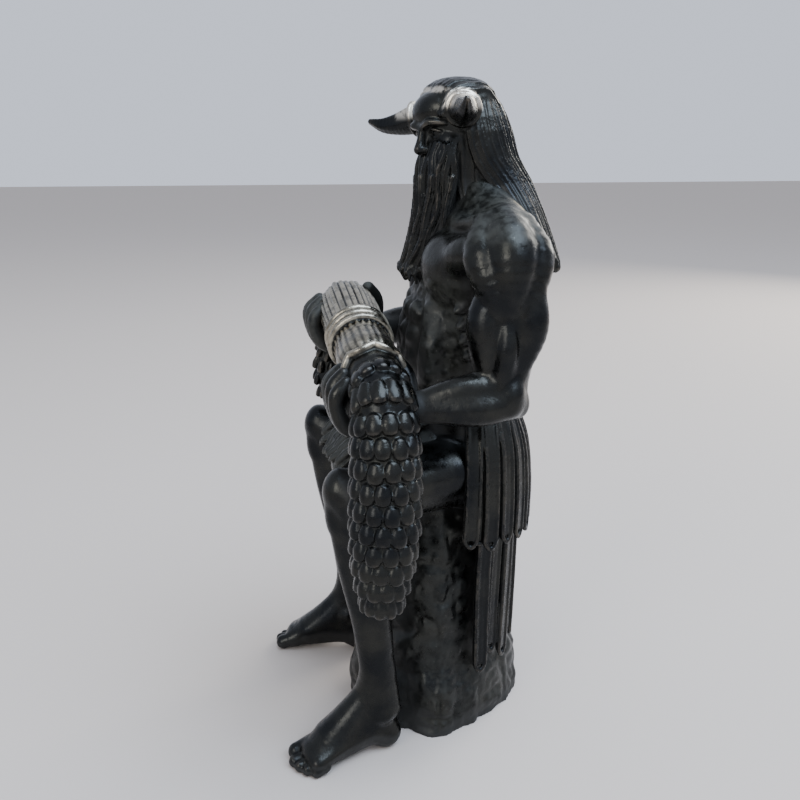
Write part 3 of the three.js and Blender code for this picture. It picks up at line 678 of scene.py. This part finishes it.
SHEAF_START = np.array((-3.4, -4.6, 41.6))
SHEAF_END = np.array((11.6, -4.4, 37.7))
SHEAF_RADIUS = 2.75
STALKS = 28
CORD_FIRST = 5.5
CORD_PITCH = 0.97
CORD_TURNS = 3
COLLAR = 13.5
SCALLOPS = 7
BIG_EAR = [
    (11.6, -4.4, 37.8, 2.6, 2.6),
    (13.9, -4.4, 36.8, 2.8, 2.8),
    (14.9, -4.4, 33.0, 3.0, 3.1),
    (15.2, -4.5, 27.4, 3.1, 3.2),
    (15.1, -4.7, 22.6, 2.75, 2.85),
    (15.0, -4.8, 19.0, 1.9, 2.0),
]
SMALL_EAR = [
    (-5.6, -5.4, 38.6, 1.3, 1.3),
    (-7.2, -5.8, 37.0, 1.65, 1.65),
    (-8.0, -6.0, 34.2, 1.75, 1.75),
    (-8.5, -6.0, 31.8, 1.25, 1.25),
]


def sheaf_ring(along, angle, radius):
    run = unit(SHEAF_END - SHEAF_START)
    wide = unit(UP - run * np.dot(UP, run))
    deep = np.cross(run, wide)
    return SHEAF_START + run * along + (wide * math.cos(angle) + deep * math.sin(angle)) * radius


def build_stalks(clay):
    source = np.random.default_rng(21)
    clay.stroke([
        (*sheaf_ring(-1.6, 0, 0), SHEAF_RADIUS - 0.8, SHEAF_RADIUS - 0.8),
        (*sheaf_ring(3.0, 0, 0), SHEAF_RADIUS - 0.45, SHEAF_RADIUS - 0.45),
        (*sheaf_ring(10.0, 0, 0), SHEAF_RADIUS - 0.4, SHEAF_RADIUS - 0.4),
        (*sheaf_ring(14.4, 0, 0), SHEAF_RADIUS - 0.3, SHEAF_RADIUS - 0.3),
    ], 0.2, UP)
    for stalk in range(STALKS):
        angle = (stalk + source.uniform(-0.15, 0.15)) / STALKS * math.tau
        thick = source.uniform(0.26, 0.33)
        end = source.uniform(-2.5, -2.0)
        bulge = source.uniform(-0.04, 0.08)
        clay.stroke(tube([
            (*sheaf_ring(end, angle, SHEAF_RADIUS - 0.95), thick * 0.9),
            (*sheaf_ring(end + 0.9, angle, SHEAF_RADIUS - 0.35 + bulge), thick),
            (*sheaf_ring(1.8, angle, SHEAF_RADIUS - 0.16 + bulge), thick),
            (*sheaf_ring(CORD_FIRST, angle, SHEAF_RADIUS - 0.26), thick),
            (*sheaf_ring(CORD_FIRST + 3.4, angle, SHEAF_RADIUS - 0.34), thick * 0.8),
        ]), 0.05, UP, pieces=2)
    for ring, count in ((0.4, 4), (0.95, 9), (1.5, 14)):
        for stalk in range(count):
            angle = (stalk + source.uniform(-0.2, 0.2)) / count * math.tau
            end = source.uniform(-2.75, -2.4) - 0.3 * (1.5 - ring)
            rows = [(*sheaf_ring(along, angle, ring), 0.27) for along in (end, 0)]
            clay.stroke(tube(rows), 0.05, UP, pieces=1)


def build_bindings(clay):
    """The turns of cord, the smooth wrapped neck and its scalloped edge."""
    around = [step / 72 * math.tau for step in range(73)]
    for turn in range(CORD_TURNS):
        middle = CORD_FIRST + turn * CORD_PITCH
        clay.stroke([
            (*sheaf_ring(middle + 0.15 * math.cos(angle), angle, SHEAF_RADIUS + 0.06), 0.33, 0.33)
            for angle in around[::2]
        ], 0.05, ALONG_X, pieces=1)
    clay.stroke([
        (*sheaf_ring(CORD_FIRST + 2.6, 0, 0), SHEAF_RADIUS - 0.2, SHEAF_RADIUS - 0.2),
        (*sheaf_ring(COLLAR - 2.6, 0, 0), SHEAF_RADIUS + 0.02, SHEAF_RADIUS + 0.02),
        (*sheaf_ring(COLLAR - 2.2, 0, 0), SHEAF_RADIUS + 0.02, SHEAF_RADIUS + 0.02),
    ], 0.1, UP, flutes=24, depth=0.03)
    waves = [0.5 * abs(math.sin(SCALLOPS * angle / 2)) for angle in around]
    for along, lift, soft, carve in ((-0.5, -0.05, 0.3, False), (0.15, 0.3, 0.1, True)):
        clay.stroke([
            (*sheaf_ring(COLLAR + along + wave, angle, SHEAF_RADIUS + lift), 0.32, 0.32)
            for angle, wave in zip(around, waves)
        ], soft, ALONG_X, pieces=1, carve=carve)


def build_ear(clay, stations, rows, around, grain, first_long):
    """An ear of rounded grains in staggered rows along its path."""
    source = np.random.default_rng(31)
    clay.stroke([(x, y, z, wide - 0.45, deep - 0.45) for x, y, z, wide, deep in stations], 0.2, ALONG_Y)
    path = smooth(stations, 12)
    steps = np.linalg.norm(np.diff(path[:, :3], axis=0), axis=1)
    travelled = np.concatenate([[0], np.cumsum(steps)])
    half_width, half_length, proud = grain
    for row in range(rows):
        at = travelled[-1] * (row + 0.45) / (rows - 0.35)
        place = [np.interp(at, travelled, path[:, i]) for i in range(5)]
        ahead = [np.interp(min(at + 0.6, travelled[-1]), travelled, path[:, i]) for i in range(3)]
        behind = [np.interp(max(at - 0.6, 0), travelled, path[:, i]) for i in range(3)]
        run = unit(np.array(ahead) - np.array(behind))
        wide = unit(ALONG_Y - run * np.dot(ALONG_Y, run))
        deep = np.cross(run, wide)
        length = half_length * (1.3 if row < first_long else 1)
        for number in range(around):
            angle = (number + 0.5 * (row % 2) + source.uniform(-0.06, 0.06)) / around * math.tau
            outward = wide * math.cos(angle) + deep * math.sin(angle)
            radius = place[3] * place[4] / math.hypot(place[4] * math.cos(angle), place[3] * math.sin(angle))
            centre = np.array(place[:3]) + outward * (radius - proud * 0.8) + run * source.uniform(-0.1, 0.1)
            side = half_width * min(1.0, radius / 2.7)
            clay.stroke([
                (*(centre - run * length * 0.55 - outward * 0.12), side * 0.74, proud * 0.85),
                (*centre, side, proud),
                (*(centre + run * length * 0.45 + outward * 0.08), side * 0.84, proud * 0.92),
            ], 0.1, unit(np.cross(outward, run)), pieces=2)


def build_sheaf(clay):
    build_stalks(clay)
    build_ear(clay, BIG_EAR, 12, 12, (0.78, 1.05, 0.5), 2)
    build_ear(clay, SMALL_EAR, 5, 8, (0.6, 0.85, 0.4), 1)
    build_bindings(clay)


# Skirt of long leaf straps, leaves over the lap, and two that hang between the shins

UPPER_SKIRT = [
    (0, 5.9, 34.0, 7.0, 5.1),
    (0, 5.7, 32.0, 8.1, 6.0),
    (0, 5.5, 29.4, 9.1, 7.1),
    (0, 5.2, 25.4, 9.75, 7.8),
    (0, 5.0, 21.8, 9.8, 8.0),
]
LOWER_SKIRT = [
    (0, 4.6, 24.0, 8.6, 7.4),
    (0, 4.5, 20.0, 8.5, 7.4),
    (0, 4.4, 14.0, 8.4, 7.4),
    (0, 4.4, 8.6, 8.0, 7.3),
]
UPPER_STRAPS = 14
LOWER_STRAPS = 12
LAP = [(0, 2.4, 29.2, 6.8, 3.2), (0, -2.2, 27.9, 6.0, 2.5), (-0.4, -5.0, 26.8, 5.4, 2.0)]


def skirt_path(levels, angle, longer, inset, sway):
    """Points down the skirt at one angle from the back, with the outward direction at each."""
    rows = smooth(levels, 3)
    points = []
    for row, (x, y, z, wide, deep) in enumerate(rows):
        share = row / (len(rows) - 1)
        swing = angle + sway * math.sin(share * 5.0 + angle * 4)
        outward = unit(np.array((math.sin(swing) / wide, math.cos(swing) / deep, 0)))
        height = z - longer * share**3
        place = (x + math.sin(swing) * (wide - inset), y + math.cos(swing) * (deep - inset), height)
        points.append((np.array(place), outward))
    return points


def build_strap(clay, points, half_width, rim, soft):
    """A strap with a raised rim down each side that turns round its lower end."""
    across = unit(np.cross(points[len(points) // 2][1], UP))
    clay.stroke([(*place, half_width, 0.3) for place, _ in points], soft, across, pieces=1)
    end, normal = points[-1]
    for side in SIDES:
        edge = []
        for place, outward in points:
            across = unit(np.cross(outward, UP))
            edge.append((*(place + across * side * (half_width - rim) + outward * 0.2), rim))
        across = unit(np.cross(normal, UP))
        for fall, spread in ((0.45, 0.8), (0.85, 0.4), (1.0, 0.0)):
            bend = end + across * side * (half_width - rim) * spread + normal * 0.2
            edge.append((*(bend - UP * half_width * fall), rim))
        clay.stroke(tube(edge), soft, pieces=1)
    middle = [(*(place + outward * 0.16), 0.12) for place, outward in points]
    clay.stroke(tube(middle), 0.06, pieces=1)


def build_skirt(clay):
    source = np.random.default_rng(11)
    half_arc = math.radians(100)
    for strap in range(UPPER_STRAPS - 1):
        angle = half_arc * ((2 * strap + 2) / UPPER_STRAPS - 1)
        path = skirt_path(UPPER_SKIRT, angle, source.uniform(-0.4, 0.4), 0.5, 0.006)
        build_strap(clay, path, 0.62, 0.19, 0.08)
    for strap in range(UPPER_STRAPS):
        angle = half_arc * ((2 * strap + 1) / UPPER_STRAPS - 1)
        path = skirt_path(UPPER_SKIRT, angle, source.uniform(-0.3, 0.9), 0.1, 0.012)
        build_strap(clay, path, 0.84, 0.23, 0.07)
    for strap in range(LOWER_STRAPS):
        angle = math.radians(80) * ((2 * strap + 1) / LOWER_STRAPS - 1)
        path = skirt_path(LOWER_SKIRT, angle, source.uniform(-0.6, 1.6), 0.1 if strap % 2 else 0.4, 0.015)
        build_strap(clay, path, 0.84, 0.23, 0.07)
    waist = []
    for step in range(33):
        angle = math.radians(122) * (step / 16 - 1)
        x, y, z, wide, deep = UPPER_SKIRT[0]
        waist.append((x + math.sin(angle) * (wide + 0.1), y + math.cos(angle) * (deep + 0.1), z + 0.1, 0.36))
    clay.stroke(tube(waist), 0.1, UP, pieces=1)


def build_leaf(clay, stations, rim, soft):
    """A leaf with a rim round its edge, a rib down its middle and fine veins."""
    rows = smooth(stations, 3)
    clay.stroke(rows, soft, pieces=1, flutes=14, depth=0.045)
    for side in (-1, 0, 1):
        edge = []
        for row, (x, y, z, wide, deep) in enumerate(rows):
            following = rows[min(row + 1, len(rows) - 1)]
            previous = rows[max(row - 1, 0)]
            run = unit(following[:3] - previous[:3])
            normal = unit(np.cross(ALONG_X, run))
            if normal[2] - normal[1] < 0:
                normal = -normal
            lift = deep * (0.35 if side else 0.85)
            edge.append((*(np.array((x + side * (wide - rim), y, z)) + normal * lift), rim))
        if side:
            x, y, z, wide, deep = rows[-1]
            edge.append((*(np.array((x, y, z)) + run * wide * 0.8), rim * 0.8))
        clay.stroke(tube(edge), 0.06, pieces=1)


def build_lap(clay):
    source = np.random.default_rng(71)
    clay.stroke(LAP, 0.8)
    for layer, leaves in ((0, 7), (1, 6)):
        for leaf in range(leaves):
            across = (2 * leaf + 1) / leaves - 1
            length = source.uniform(-0.7, 0.9)
            turn = source.uniform(-0.4, 0.4)
            build_leaf(clay, [
                (across * 4.9, 2.0 - layer * 0.3, 31.9 + layer * 0.35, 0.6, 0.34),
                (across * 5.6 - 0.2, -2.2, 30.7 + layer * 0.35, 0.85, 0.34),
                (across * 5.8 - 0.5 + turn, -5.3 - layer * 0.3, 29.3 + layer * 0.3, 0.85, 0.32),
                (across * 5.7 - 0.6 + turn * 2, -7.2 + layer * 0.3, 27.6 + length, 0.5, 0.3),
            ], 0.15, 0.1)
    for start, end, low in ((1.2, 2.2, 18.8), (-1.6, -1.9, 20.6)):
        build_leaf(clay, [
            (start, -4.9, 27.4, 1.1, 0.5),
            ((start + end) / 2, -6.3, 23.0, 1.2, 0.5),
            (end, -6.6, low, 0.7, 0.4),
        ], 0.18, 0.1)


# Boulder

ROCK = {"middle": (0.1, 2.4), "half_width": 8.9, "front": 8.2, "back": 10.9, "bluntness": 1.5, "top": 25.6}
ROCK_ROWS = [
    (-2, 1.0, 1.0),
    (0, 1.0, 1.0),
    (1.6, 1.0, 1.01),
    (4.8, 0.98, 0.97),
    (6.0, 0.96, 0.90),
    (7.4, 0.95, 0.87),
    (16, 0.93, 0.86),
    (26, 0.86, 0.82),
]
ROCK_DENTS = [
    ((8.0, 3.6, 15.6), (0.55, 0.6, 1.7), (-24, 0, 0)),
    ((8.0, 4.3, 13.4), (0.5, 0.6, 0.7), (0, 0, 0)),
    ((8.5, 1.9, 10.2), (0.5, 0.45, 1.3), (20, 0, 0)),
    ((8.6, 2.3, 8.4), (0.5, 0.9, 0.45), (0, 0, 0)),
    ((8.9, 2.1, 2.6), (0.5, 0.25, 2.2), (0, 0, 0)),
    ((4.5, -4.6, 13.0), (1.3, 0.6, 0.7), (0, 30, 0)),
    ((-5.5, -4.4, 9.0), (0.8, 0.5, 1.6), (0, -20, 0)),
    ((-8.4, 3.4, 12.0), (0.5, 1.4, 0.8), (30, 0, 0)),
]


def build_boulder(clay):
    first = np.zeros(3, int)
    x, y, z = clay.places(first, clay.count)
    heights = [row[0] for row in ROCK_ROWS]
    ahead = np.interp(z, heights, [row[1] for row in ROCK_ROWS])
    behind = np.interp(z, heights, [row[2] for row in ROCK_ROWS])
    along = y - ROCK["middle"][1]
    across = x - ROCK["middle"][0]
    half_depth = np.where(along > 0, ROCK["back"] * behind, ROCK["front"] * ahead)
    half_width = ROCK["half_width"] * 0.5 * (ahead + behind)
    blunt = ROCK["bluntness"]
    spread = ((np.abs(across) / half_width) ** blunt + (np.abs(along) / half_depth) ** blunt) ** (1 / blunt)
    radius = np.sqrt(across**2 + along**2)
    distance = 0.85 * (radius - radius / np.maximum(spread, 1e-3))
    distance = np.maximum(distance, z - ROCK["top"]).astype(np.float32)
    for cell, depth, seed in ((4.6, 0.34, 3), (2.0, 0.2, 4), (0.9, 0.08, 5)):
        rough = clay.noise(clay.count, cell, seed)
        distance += depth * (1 - 2 * np.abs(rough))
    clay.join(first, distance, 0.1)
    for centre, radii, turn in ROCK_DENTS:
        clay.lump(centre, radii, 0.25, turn, carve=True)
    clay.flatten_underside()


def build_body(clay):
    build_trunk(clay)
    build_arms(clay)
    build_legs(clay)
    build_hand(clay, LEFT_KNUCKLES, 1, LEFT_WRIST, 1.0)
    build_hand(clay, RIGHT_KNUCKLES, -1, RIGHT_WRIST, 0.9)
    clay.flatten_underside()


def build_head(clay):
    build_face(clay)
    build_mane(clay)
    build_cap(clay)
    build_beard(clay)
    build_horns(clay)


def build_leaves(clay):
    build_lap(clay)
    build_skirt(clay)


# Each piece: how it is built, the corners of its block, the grid step and the most triangles

PIECES = {
    "bronze_body": (build_body, (-16.3, -13.9, -0.6), (16.6, 13.3, 56.6), 0.14, 195000),
    "bronze_head": (build_head, (-9.6, -2.6, 43.6), (10.6, 15.9, 64.2), 0.1, 195000),
    "bronze_sheaf": (build_sheaf, (-11.2, -8.9, 16.2), (19.2, -0.2, 45.6), 0.1, 195000),
    "bronze_leaves": (build_leaves, (-11.4, -9.0, 6.0), (11.4, 14.3, 35.4), 0.12, 195000),
    "bronze_boulder": (build_boulder, (-10.2, -7.2, -0.6), (10.4, 14.6, 26.6), 0.2, 60000),
}


def mesh_of(clay, name):
    grid = openvdb.FloatGrid(FAR)
    grid.copyFromArray(clay.field)
    points, triangles, quads = grid.convertToPolygons(isovalue=0.0, adaptivity=0.0)
    points = points * clay.step + clay.low
    faces = np.vstack([triangles, quads[:, [0, 1, 2]], quads[:, [0, 2, 3]]]).astype(np.int64)
    corners = points[faces]
    if np.einsum("ij,ij->i", corners[:, 0], np.cross(corners[:, 1], corners[:, 2])).sum() < 0:
        faces = faces[:, ::-1]
    mesh = bpy.data.meshes.new(name)
    mesh.vertices.add(len(points))
    mesh.vertices.foreach_set("co", ((points + CENTRE_SHIFT) / 1000).astype(np.float32).ravel())
    mesh.loops.add(faces.size)
    mesh.loops.foreach_set("vertex_index", faces.astype(np.int32).ravel())
    mesh.polygons.add(len(faces))
    mesh.polygons.foreach_set("loop_start", np.arange(0, faces.size, 3, dtype=np.int32))
    mesh.update(calc_edges=True)
    return mesh


def thinned(mesh, most):
    """The mesh with flat places in fewer triangles."""
    carrier = bpy.data.objects.new("carrier", mesh)
    bpy.context.scene.collection.objects.link(carrier)
    modifier = carrier.modifiers.new("thin", "DECIMATE")
    modifier.ratio = min(1.0, most / len(mesh.polygons))
    graph = bpy.context.evaluated_depsgraph_get()
    thin = bpy.data.meshes.new_from_object(carrier.evaluated_get(graph))
    bpy.data.objects.remove(carrier)
    bpy.data.meshes.remove(mesh)
    return thin


def box_mean(values, reach):
    """The mean over a cube that reaches that many steps each way."""
    width = 2 * reach + 1
    for axis in range(3):
        pad = [(0, 0)] * 3
        pad[axis] = (reach + 1, reach)
        total = np.cumsum(np.pad(values, pad, mode="edge"), axis=axis, dtype=np.float64)
        count = values.shape[axis]
        upper = np.take(total, np.arange(width, width + count), axis)
        lower = np.take(total, np.arange(count), axis)
        values = ((upper - lower) / width).astype(np.float32)
    return values


def sampled(values, low, step, points):
    place = (points - low) / step
    most = np.array(values.shape) - 2
    corner_low = np.clip(np.floor(place).astype(int), 0, most)
    share = np.clip(place - corner_low, 0, 1)
    total = np.zeros(len(points))
    for corner in range(8):
        step_up = np.array([corner & 1, (corner >> 1) & 1, corner >> 2])
        weight = np.prod(np.where(step_up, share, 1 - share), axis=1)
        spot = corner_low + step_up
        total += weight * values[spot[:, 0], spot[:, 1], spot[:, 2]]
    return total


class Surroundings:
    """How much metal, or ground, lies close to each place on a surface. The bronze's colour is darkened by it
    as painted shade.
    """

    STEP = 0.45
    LOW = np.array((-18.0, -16.0, -4.0))
    HIGH = np.array((21.0, 18.0, 67.0))

    def __init__(self, clays):
        count = np.ceil((self.HIGH - self.LOW) / self.STEP).astype(int)
        metal = np.zeros(count, np.float32)
        lines = [self.LOW[i] + self.STEP * np.arange(count[i]) for i in range(3)]
        metal[:, :, lines[2] < 0] = 1
        for clay in clays:
            picks = []
            cut = []
            for line, low, size in zip(lines, clay.low, clay.count):
                index = np.round((line - low) / clay.step).astype(int)
                inside = np.flatnonzero((index >= 0) & (index < size))
                picks.append(index[inside])
                cut.append(inside)
            share = np.clip(0.5 - clay.field[np.ix_(*picks)] / self.STEP, 0, 1)
            metal[np.ix_(*cut)] = np.maximum(metal[np.ix_(*cut)], share)
        self.close = box_mean(metal, 2)
        self.wide = box_mean(metal, 7)

    def at(self, points, normals):
        close = sampled(self.close, self.LOW, self.STEP, points + normals * 1.0)
        wide = sampled(self.wide, self.LOW, self.STEP, points + normals * 3.1)
        return close, wide


def ramp(value, low, high):
    share = np.clip((value - low) / (high - low), 0, 1)
    return share * share * (3 - 2 * share)


def near_line(points, line, reach):
    """1 along a line through the given points, fading to 0 at that distance."""
    nearest = np.full(len(points), 1e3)
    for start, end in zip(line[:-1], line[1:]):
        start = np.array(start)
        run = np.array(end) - start
        share = np.clip((points - start) @ run / (run @ run), 0, 1)
        nearest = np.minimum(nearest, np.linalg.norm(points - start - share[:, None] * run, axis=1))
    return ramp(nearest, reach, reach * 0.5)


SHOULDER_EDGE = [(7.2, 8.8, 53.4), (8.6, 9.9, 51.4), (9.8, 10.6, 49.4), (10.4, 10.9, 47.2)]
HAIRLINE = [(3.4, 4.0, 61.9), (1.6, 2.4, 62.4), (-0.6, 2.2, 62.4), (-2.6, 3.0, 61.9)]


def sheaf_mask(points):
    """1 on the stalks, the cord and the neck above the hands."""
    run = unit(SHEAF_END - SHEAF_START)
    along = (points - SHEAF_START) @ run
    radius = np.linalg.norm(points - SHEAF_START - along[:, None] * run, axis=1)
    mask = ramp(radius, SHEAF_RADIUS + 1.0, SHEAF_RADIUS + 0.6) * ramp(along, -4.0, -3.0)
    return mask * ramp(along, COLLAR + 0.7, COLLAR - 0.2) * ramp(points[:, 2], 36.0, 39.5)


def wear_and_highlight_mask(points):
    """1 along the hairline, which is worn, and over the upper half of the ring round each horn, which is worn
    and carries a painted highlight.
    """
    mask = near_line(points, HAIRLINE, 0.45)
    for side in SIDES:
        away = points - on_head(side * HORN[RING_AT][0], *HORN[RING_AT][1:3])
        reach = np.linalg.norm(away, axis=1)
        ring = ramp(reach, 2.1, 1.8) * ramp(reach, 1.25, 1.4) * ramp(away[:, 2], -0.3, 0.5)
        mask = np.maximum(mask, ring)
    return mask


def dust_mask(name, points):
    x, y, z = points.T
    if name.startswith("bronze_body"):
        belly = ramp(z, 32.5, 34.5) * ramp(z, 47.5, 44.5) * ramp(np.abs(x), 10.0, 8.4) * ramp(y, 8.5, 5.5)
        shoulder = ramp(z, 48.6, 50.6) * ramp(z, 55.5, 54.0) * ramp(y, 2.0, 3.4)
        return np.maximum(belly, shoulder * 0.8)
    if name.startswith("bronze_boulder"):
        return 0.5 * ramp(z, 25.0, 22.0)
    if name.startswith("bronze_leaves"):
        return ramp(z, 22.0, 25.0) * ramp(y, 3.0, 1.0)
    return np.zeros(len(points))


def paint_masks(mesh, clay, surroundings):
    """How proud or sunken each place is, which places are rubbed bright or dusty, and where the horn rings
    carry a painted highlight.
    """
    points = np.empty(len(mesh.vertices) * 3)
    mesh.vertices.foreach_get("co", points)
    points = points.reshape(-1, 3) * 1000 - CENTRE_SHIFT
    normals = np.empty(len(mesh.vertices) * 3)
    mesh.vertex_normals.foreach_get("vector", normals)
    near_field = box_mean(np.clip(clay.field, -0.5, 0.5), round(0.3 / clay.step))
    close, wide = surroundings.at(points, normals.reshape(-1, 3))
    nowhere = np.zeros(len(points))
    layers = {
        "fine": sampled(near_field, clay.low, clay.step, points),
        "close": close,
        "wide": wide,
        "sheaf": sheaf_mask(points) if mesh.name.startswith("bronze_sheaf") else nowhere,
        "wear_and_highlight": wear_and_highlight_mask(points) if mesh.name.startswith("bronze_head") else nowhere,
        "gold": near_line(points, SHOULDER_EDGE, 0.5) if mesh.name.startswith("bronze_body") else nowhere,
        "dust": dust_mask(mesh.name, points),
    }
    for name, values in layers.items():
        layer = mesh.attributes.new(name, "FLOAT", "POINT")
        layer.data.foreach_set("value", values.astype(np.float32))


# Bronze: near-black patina, rubbed warm on the high places, dusty green-brown in the recesses, with painted
# shade darkening the recesses to near black


class Nodes:
    def __init__(self, material):
        material.use_nodes = True
        self.tree = material.node_tree
        self.tree.nodes.clear()

    def add(self, kind, **settings):
        node = self.tree.nodes.new(kind)
        for name, value in settings.items():
            setattr(node, name, value)
        return node

    def link(self, output, socket):
        self.tree.links.new(output, socket)

    def mask(self, name):
        return self.add("ShaderNodeAttribute", attribute_name=name).outputs["Fac"]

    def noise(self, scale, detail, roughness=0.55):
        place = self.add("ShaderNodeTexCoord")
        node = self.add("ShaderNodeTexNoise")
        node.inputs["Scale"].default_value = scale
        node.inputs["Detail"].default_value = detail
        node.inputs["Roughness"].default_value = roughness
        self.link(place.outputs["Object"], node.inputs["Vector"])
        return node.outputs["Fac"]

    def fit(self, value, low, high, start=0.0, end=1.0):
        node = self.add("ShaderNodeMapRange", interpolation_type="SMOOTHSTEP")
        for socket, number in zip(node.inputs[1:5], (low, high, start, end)):
            socket.default_value = number
        self.link(value, node.inputs["Value"])
        return node.outputs["Result"]

    def math(self, operation, first, second):
        node = self.add("ShaderNodeMath", operation=operation)
        for socket, value in zip(node.inputs, (first, second)):
            if isinstance(value, (int, float)):
                socket.default_value = value
            else:
                self.link(value, socket)
        return node.outputs[0]

    def mix(self, share, first, second):
        node = self.add("ShaderNodeMix", data_type="RGBA")
        self.link(share, node.inputs["Factor"])
        for socket, value in ((node.inputs[6], first), (node.inputs[7], second)):
            if isinstance(value, tuple):
                socket.default_value = (*value, 1)
            else:
                self.link(value, socket)
        return node.outputs[2]


def bronze_material():
    material = bpy.data.materials.new("bronze_patina")
    nodes = Nodes(material)
    output = nodes.add("ShaderNodeOutputMaterial")
    shader = nodes.add("ShaderNodeBsdfPrincipled")
    nodes.link(shader.outputs[0], output.inputs[0])
    times = lambda first, second: nodes.math("MULTIPLY", first, second)
    blotch = nodes.noise(230, 4)
    grain = nodes.noise(1300, 5)
    speck = nodes.noise(3600, 3)
    colour = nodes.mix(nodes.fit(blotch, 0.35, 0.65), (0.017, 0.018, 0.019), (0.032, 0.032, 0.029))
    crowded = nodes.fit(nodes.mask("close"), 0.10, 0.42)
    buried = nodes.math("MAXIMUM", crowded, nodes.fit(nodes.mask("wide"), 0.10, 0.38))
    open_air = nodes.math("SUBTRACT", 1.0, buried)
    edge = nodes.fit(nodes.mask("fine"), 0.03, 0.12)
    rub = times(times(edge, nodes.fit(grain, 0.42, 0.64, 0.05, 0.75)), open_air)
    colour = nodes.mix(rub, colour, (0.13, 0.115, 0.095))
    dusty = times(nodes.mask("dust"), nodes.fit(grain, 0.30, 0.68, 0.35, 0.85))
    groove = nodes.fit(nodes.mask("fine"), -0.02, -0.09, 0.0, 0.35)
    dust = nodes.math("MAXIMUM", dusty, groove)
    colour = nodes.mix(dust, colour, (0.021, 0.022, 0.016))
    fleck = times(nodes.mask("dust"), nodes.fit(speck, 0.66, 0.74))
    colour = nodes.mix(times(fleck, 0.4), colour, (0.20, 0.20, 0.17))
    # painted shade: where much metal lies close around, the colour goes towards near black, together with the
    # black patina held in recesses
    colour = nodes.mix(times(buried, 0.85), colour, (0.006, 0.006, 0.005))
    bright = times(nodes.mask("sheaf"), nodes.fit(grain, 0.32, 0.66, 0.4, 1.0))
    bright = times(bright, nodes.fit(nodes.mask("fine"), -0.03, 0.03))
    colour = nodes.mix(bright, colour, (0.40, 0.36, 0.28))
    # pale wear along the hairline; on the upper half of each horn ring this is also a painted highlight
    wear_and_highlight = times(nodes.mask("wear_and_highlight"), nodes.fit(grain, 0.30, 0.50))
    colour = nodes.mix(wear_and_highlight, colour, (0.55, 0.50, 0.42))
    gold = times(nodes.mask("gold"), nodes.fit(grain, 0.34, 0.52))
    colour = nodes.mix(gold, colour, (0.62, 0.47, 0.20))
    nodes.link(colour, shader.inputs["Base Color"])
    dull = nodes.math("MAXIMUM", dust, times(buried, 0.8))
    nodes.link(nodes.fit(dull, 0.0, 1.0, 1.0, 0.1), shader.inputs["Metallic"])
    uneven = nodes.fit(grain, 0.3, 0.7, -0.06, 0.08)
    nodes.link(nodes.math("ADD", nodes.fit(dull, 0.0, 1.0, 0.27, 0.62), uneven), shader.inputs["Roughness"])
    height = nodes.math("ADD", times(grain, 0.7), times(speck, 0.3))
    bump = nodes.add("ShaderNodeBump")
    bump.inputs["Strength"].default_value = 0.4
    bump.inputs["Distance"].default_value = 0.00012
    nodes.link(height, bump.inputs["Height"])
    nodes.link(bump.outputs["Normal"], shader.inputs["Normal"])
    return material


def make_figure():
    clays = {name: Clay(low, high, step) for name, (_, low, high, step, _) in PIECES.items()}
    with ThreadPoolExecutor(4) as workers:
        jobs = [workers.submit(PIECES[name][0], clay) for name, clay in clays.items()]
    for job in jobs:
        job.result()
    surroundings = Surroundings(clays.values())
    bronze = bronze_material()
    for name, clay in clays.items():
        mesh = thinned(mesh_of(clay, name), PIECES[name][4])
        mesh.name = name
        paint_masks(mesh, clay, surroundings)
        mesh.shade_smooth()
        mesh.materials.append(bronze)
        piece = bpy.data.objects.new(name, mesh)
        bpy.context.scene.collection.objects.link(piece)
        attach(piece, "root")
        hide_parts("horned_farmer_figure")


make_figure()


# Stage: pale floor, soft light and the camera at the photograph's viewing angle


def stage_material():
    material = bpy.data.materials.new("floor_pale")
    nodes = Nodes(material)
    output = nodes.add("ShaderNodeOutputMaterial")
    shader = nodes.add("ShaderNodeBsdfPrincipled")
    shader.inputs["Base Color"].default_value = (0.50, 0.445, 0.40, 1)
    shader.inputs["Roughness"].default_value = 0.8
    nodes.link(shader.outputs[0], output.inputs[0])
    return material


FLOOR_HALF = 1.5
floor_mesh = bpy.data.meshes.new("floor")
floor_corners = [(x * FLOOR_HALF, y * FLOOR_HALF, 0) for x, y in ((-1, -1), (1, -1), (1, 1), (-1, 1))]
floor_mesh.from_pydata(floor_corners, [], [(0, 1, 2, 3)])
floor = bpy.data.objects.new("floor", floor_mesh)
floor_mesh.materials.append(stage_material())
bpy.context.scene.collection.objects.link(floor)


def soft_light(name, place, size, power, colour):
    lamp = bpy.data.lights.new(name, "AREA")
    lamp.shape = "RECTANGLE"
    lamp.size, lamp.size_y = size
    lamp.energy = power
    lamp.color = colour
    light = bpy.data.objects.new(name, lamp)
    light.location = place
    aim = np.array((0, 0.005, 0.045)) - np.array(place)
    light.rotation_euler = (math.acos(-aim[2] / np.linalg.norm(aim)), 0, math.atan2(-aim[0], aim[1]))
    bpy.context.scene.collection.objects.link(light)


soft_light("sky", (0.12, 0.10, 0.34), (0.30, 0.30), 2.6, (0.66, 0.80, 1.0))
soft_light("window", (0.24, -0.26, 0.20), (0.16, 0.20), 0.5, (1.0, 0.97, 0.92))
soft_light("rim", (-0.20, 0.26, 0.16), (0.16, 0.20), 0.8, (1.0, 0.96, 0.88))

world = bpy.data.worlds.new("studio")
world.use_nodes = True
world.node_tree.nodes["Background"].inputs["Color"].default_value = (0.80, 0.86, 1.0, 1)
world.node_tree.nodes["Background"].inputs["Strength"].default_value = 1.0
bpy.context.scene.world = world

lens = bpy.data.cameras.new("camera")
lens.sensor_width = 36
lens.lens = 40.5
lens.clip_start = 0.005
camera = bpy.data.objects.new("camera", lens)
camera.location = (np.array((84.61, -17.98, 57.0)) + CENTRE_SHIFT) / 1000
camera.rotation_euler = (math.radians(90 - 15.52), 0, math.radians(78))
bpy.context.scene.collection.objects.link(camera)
bpy.context.scene.camera = camera
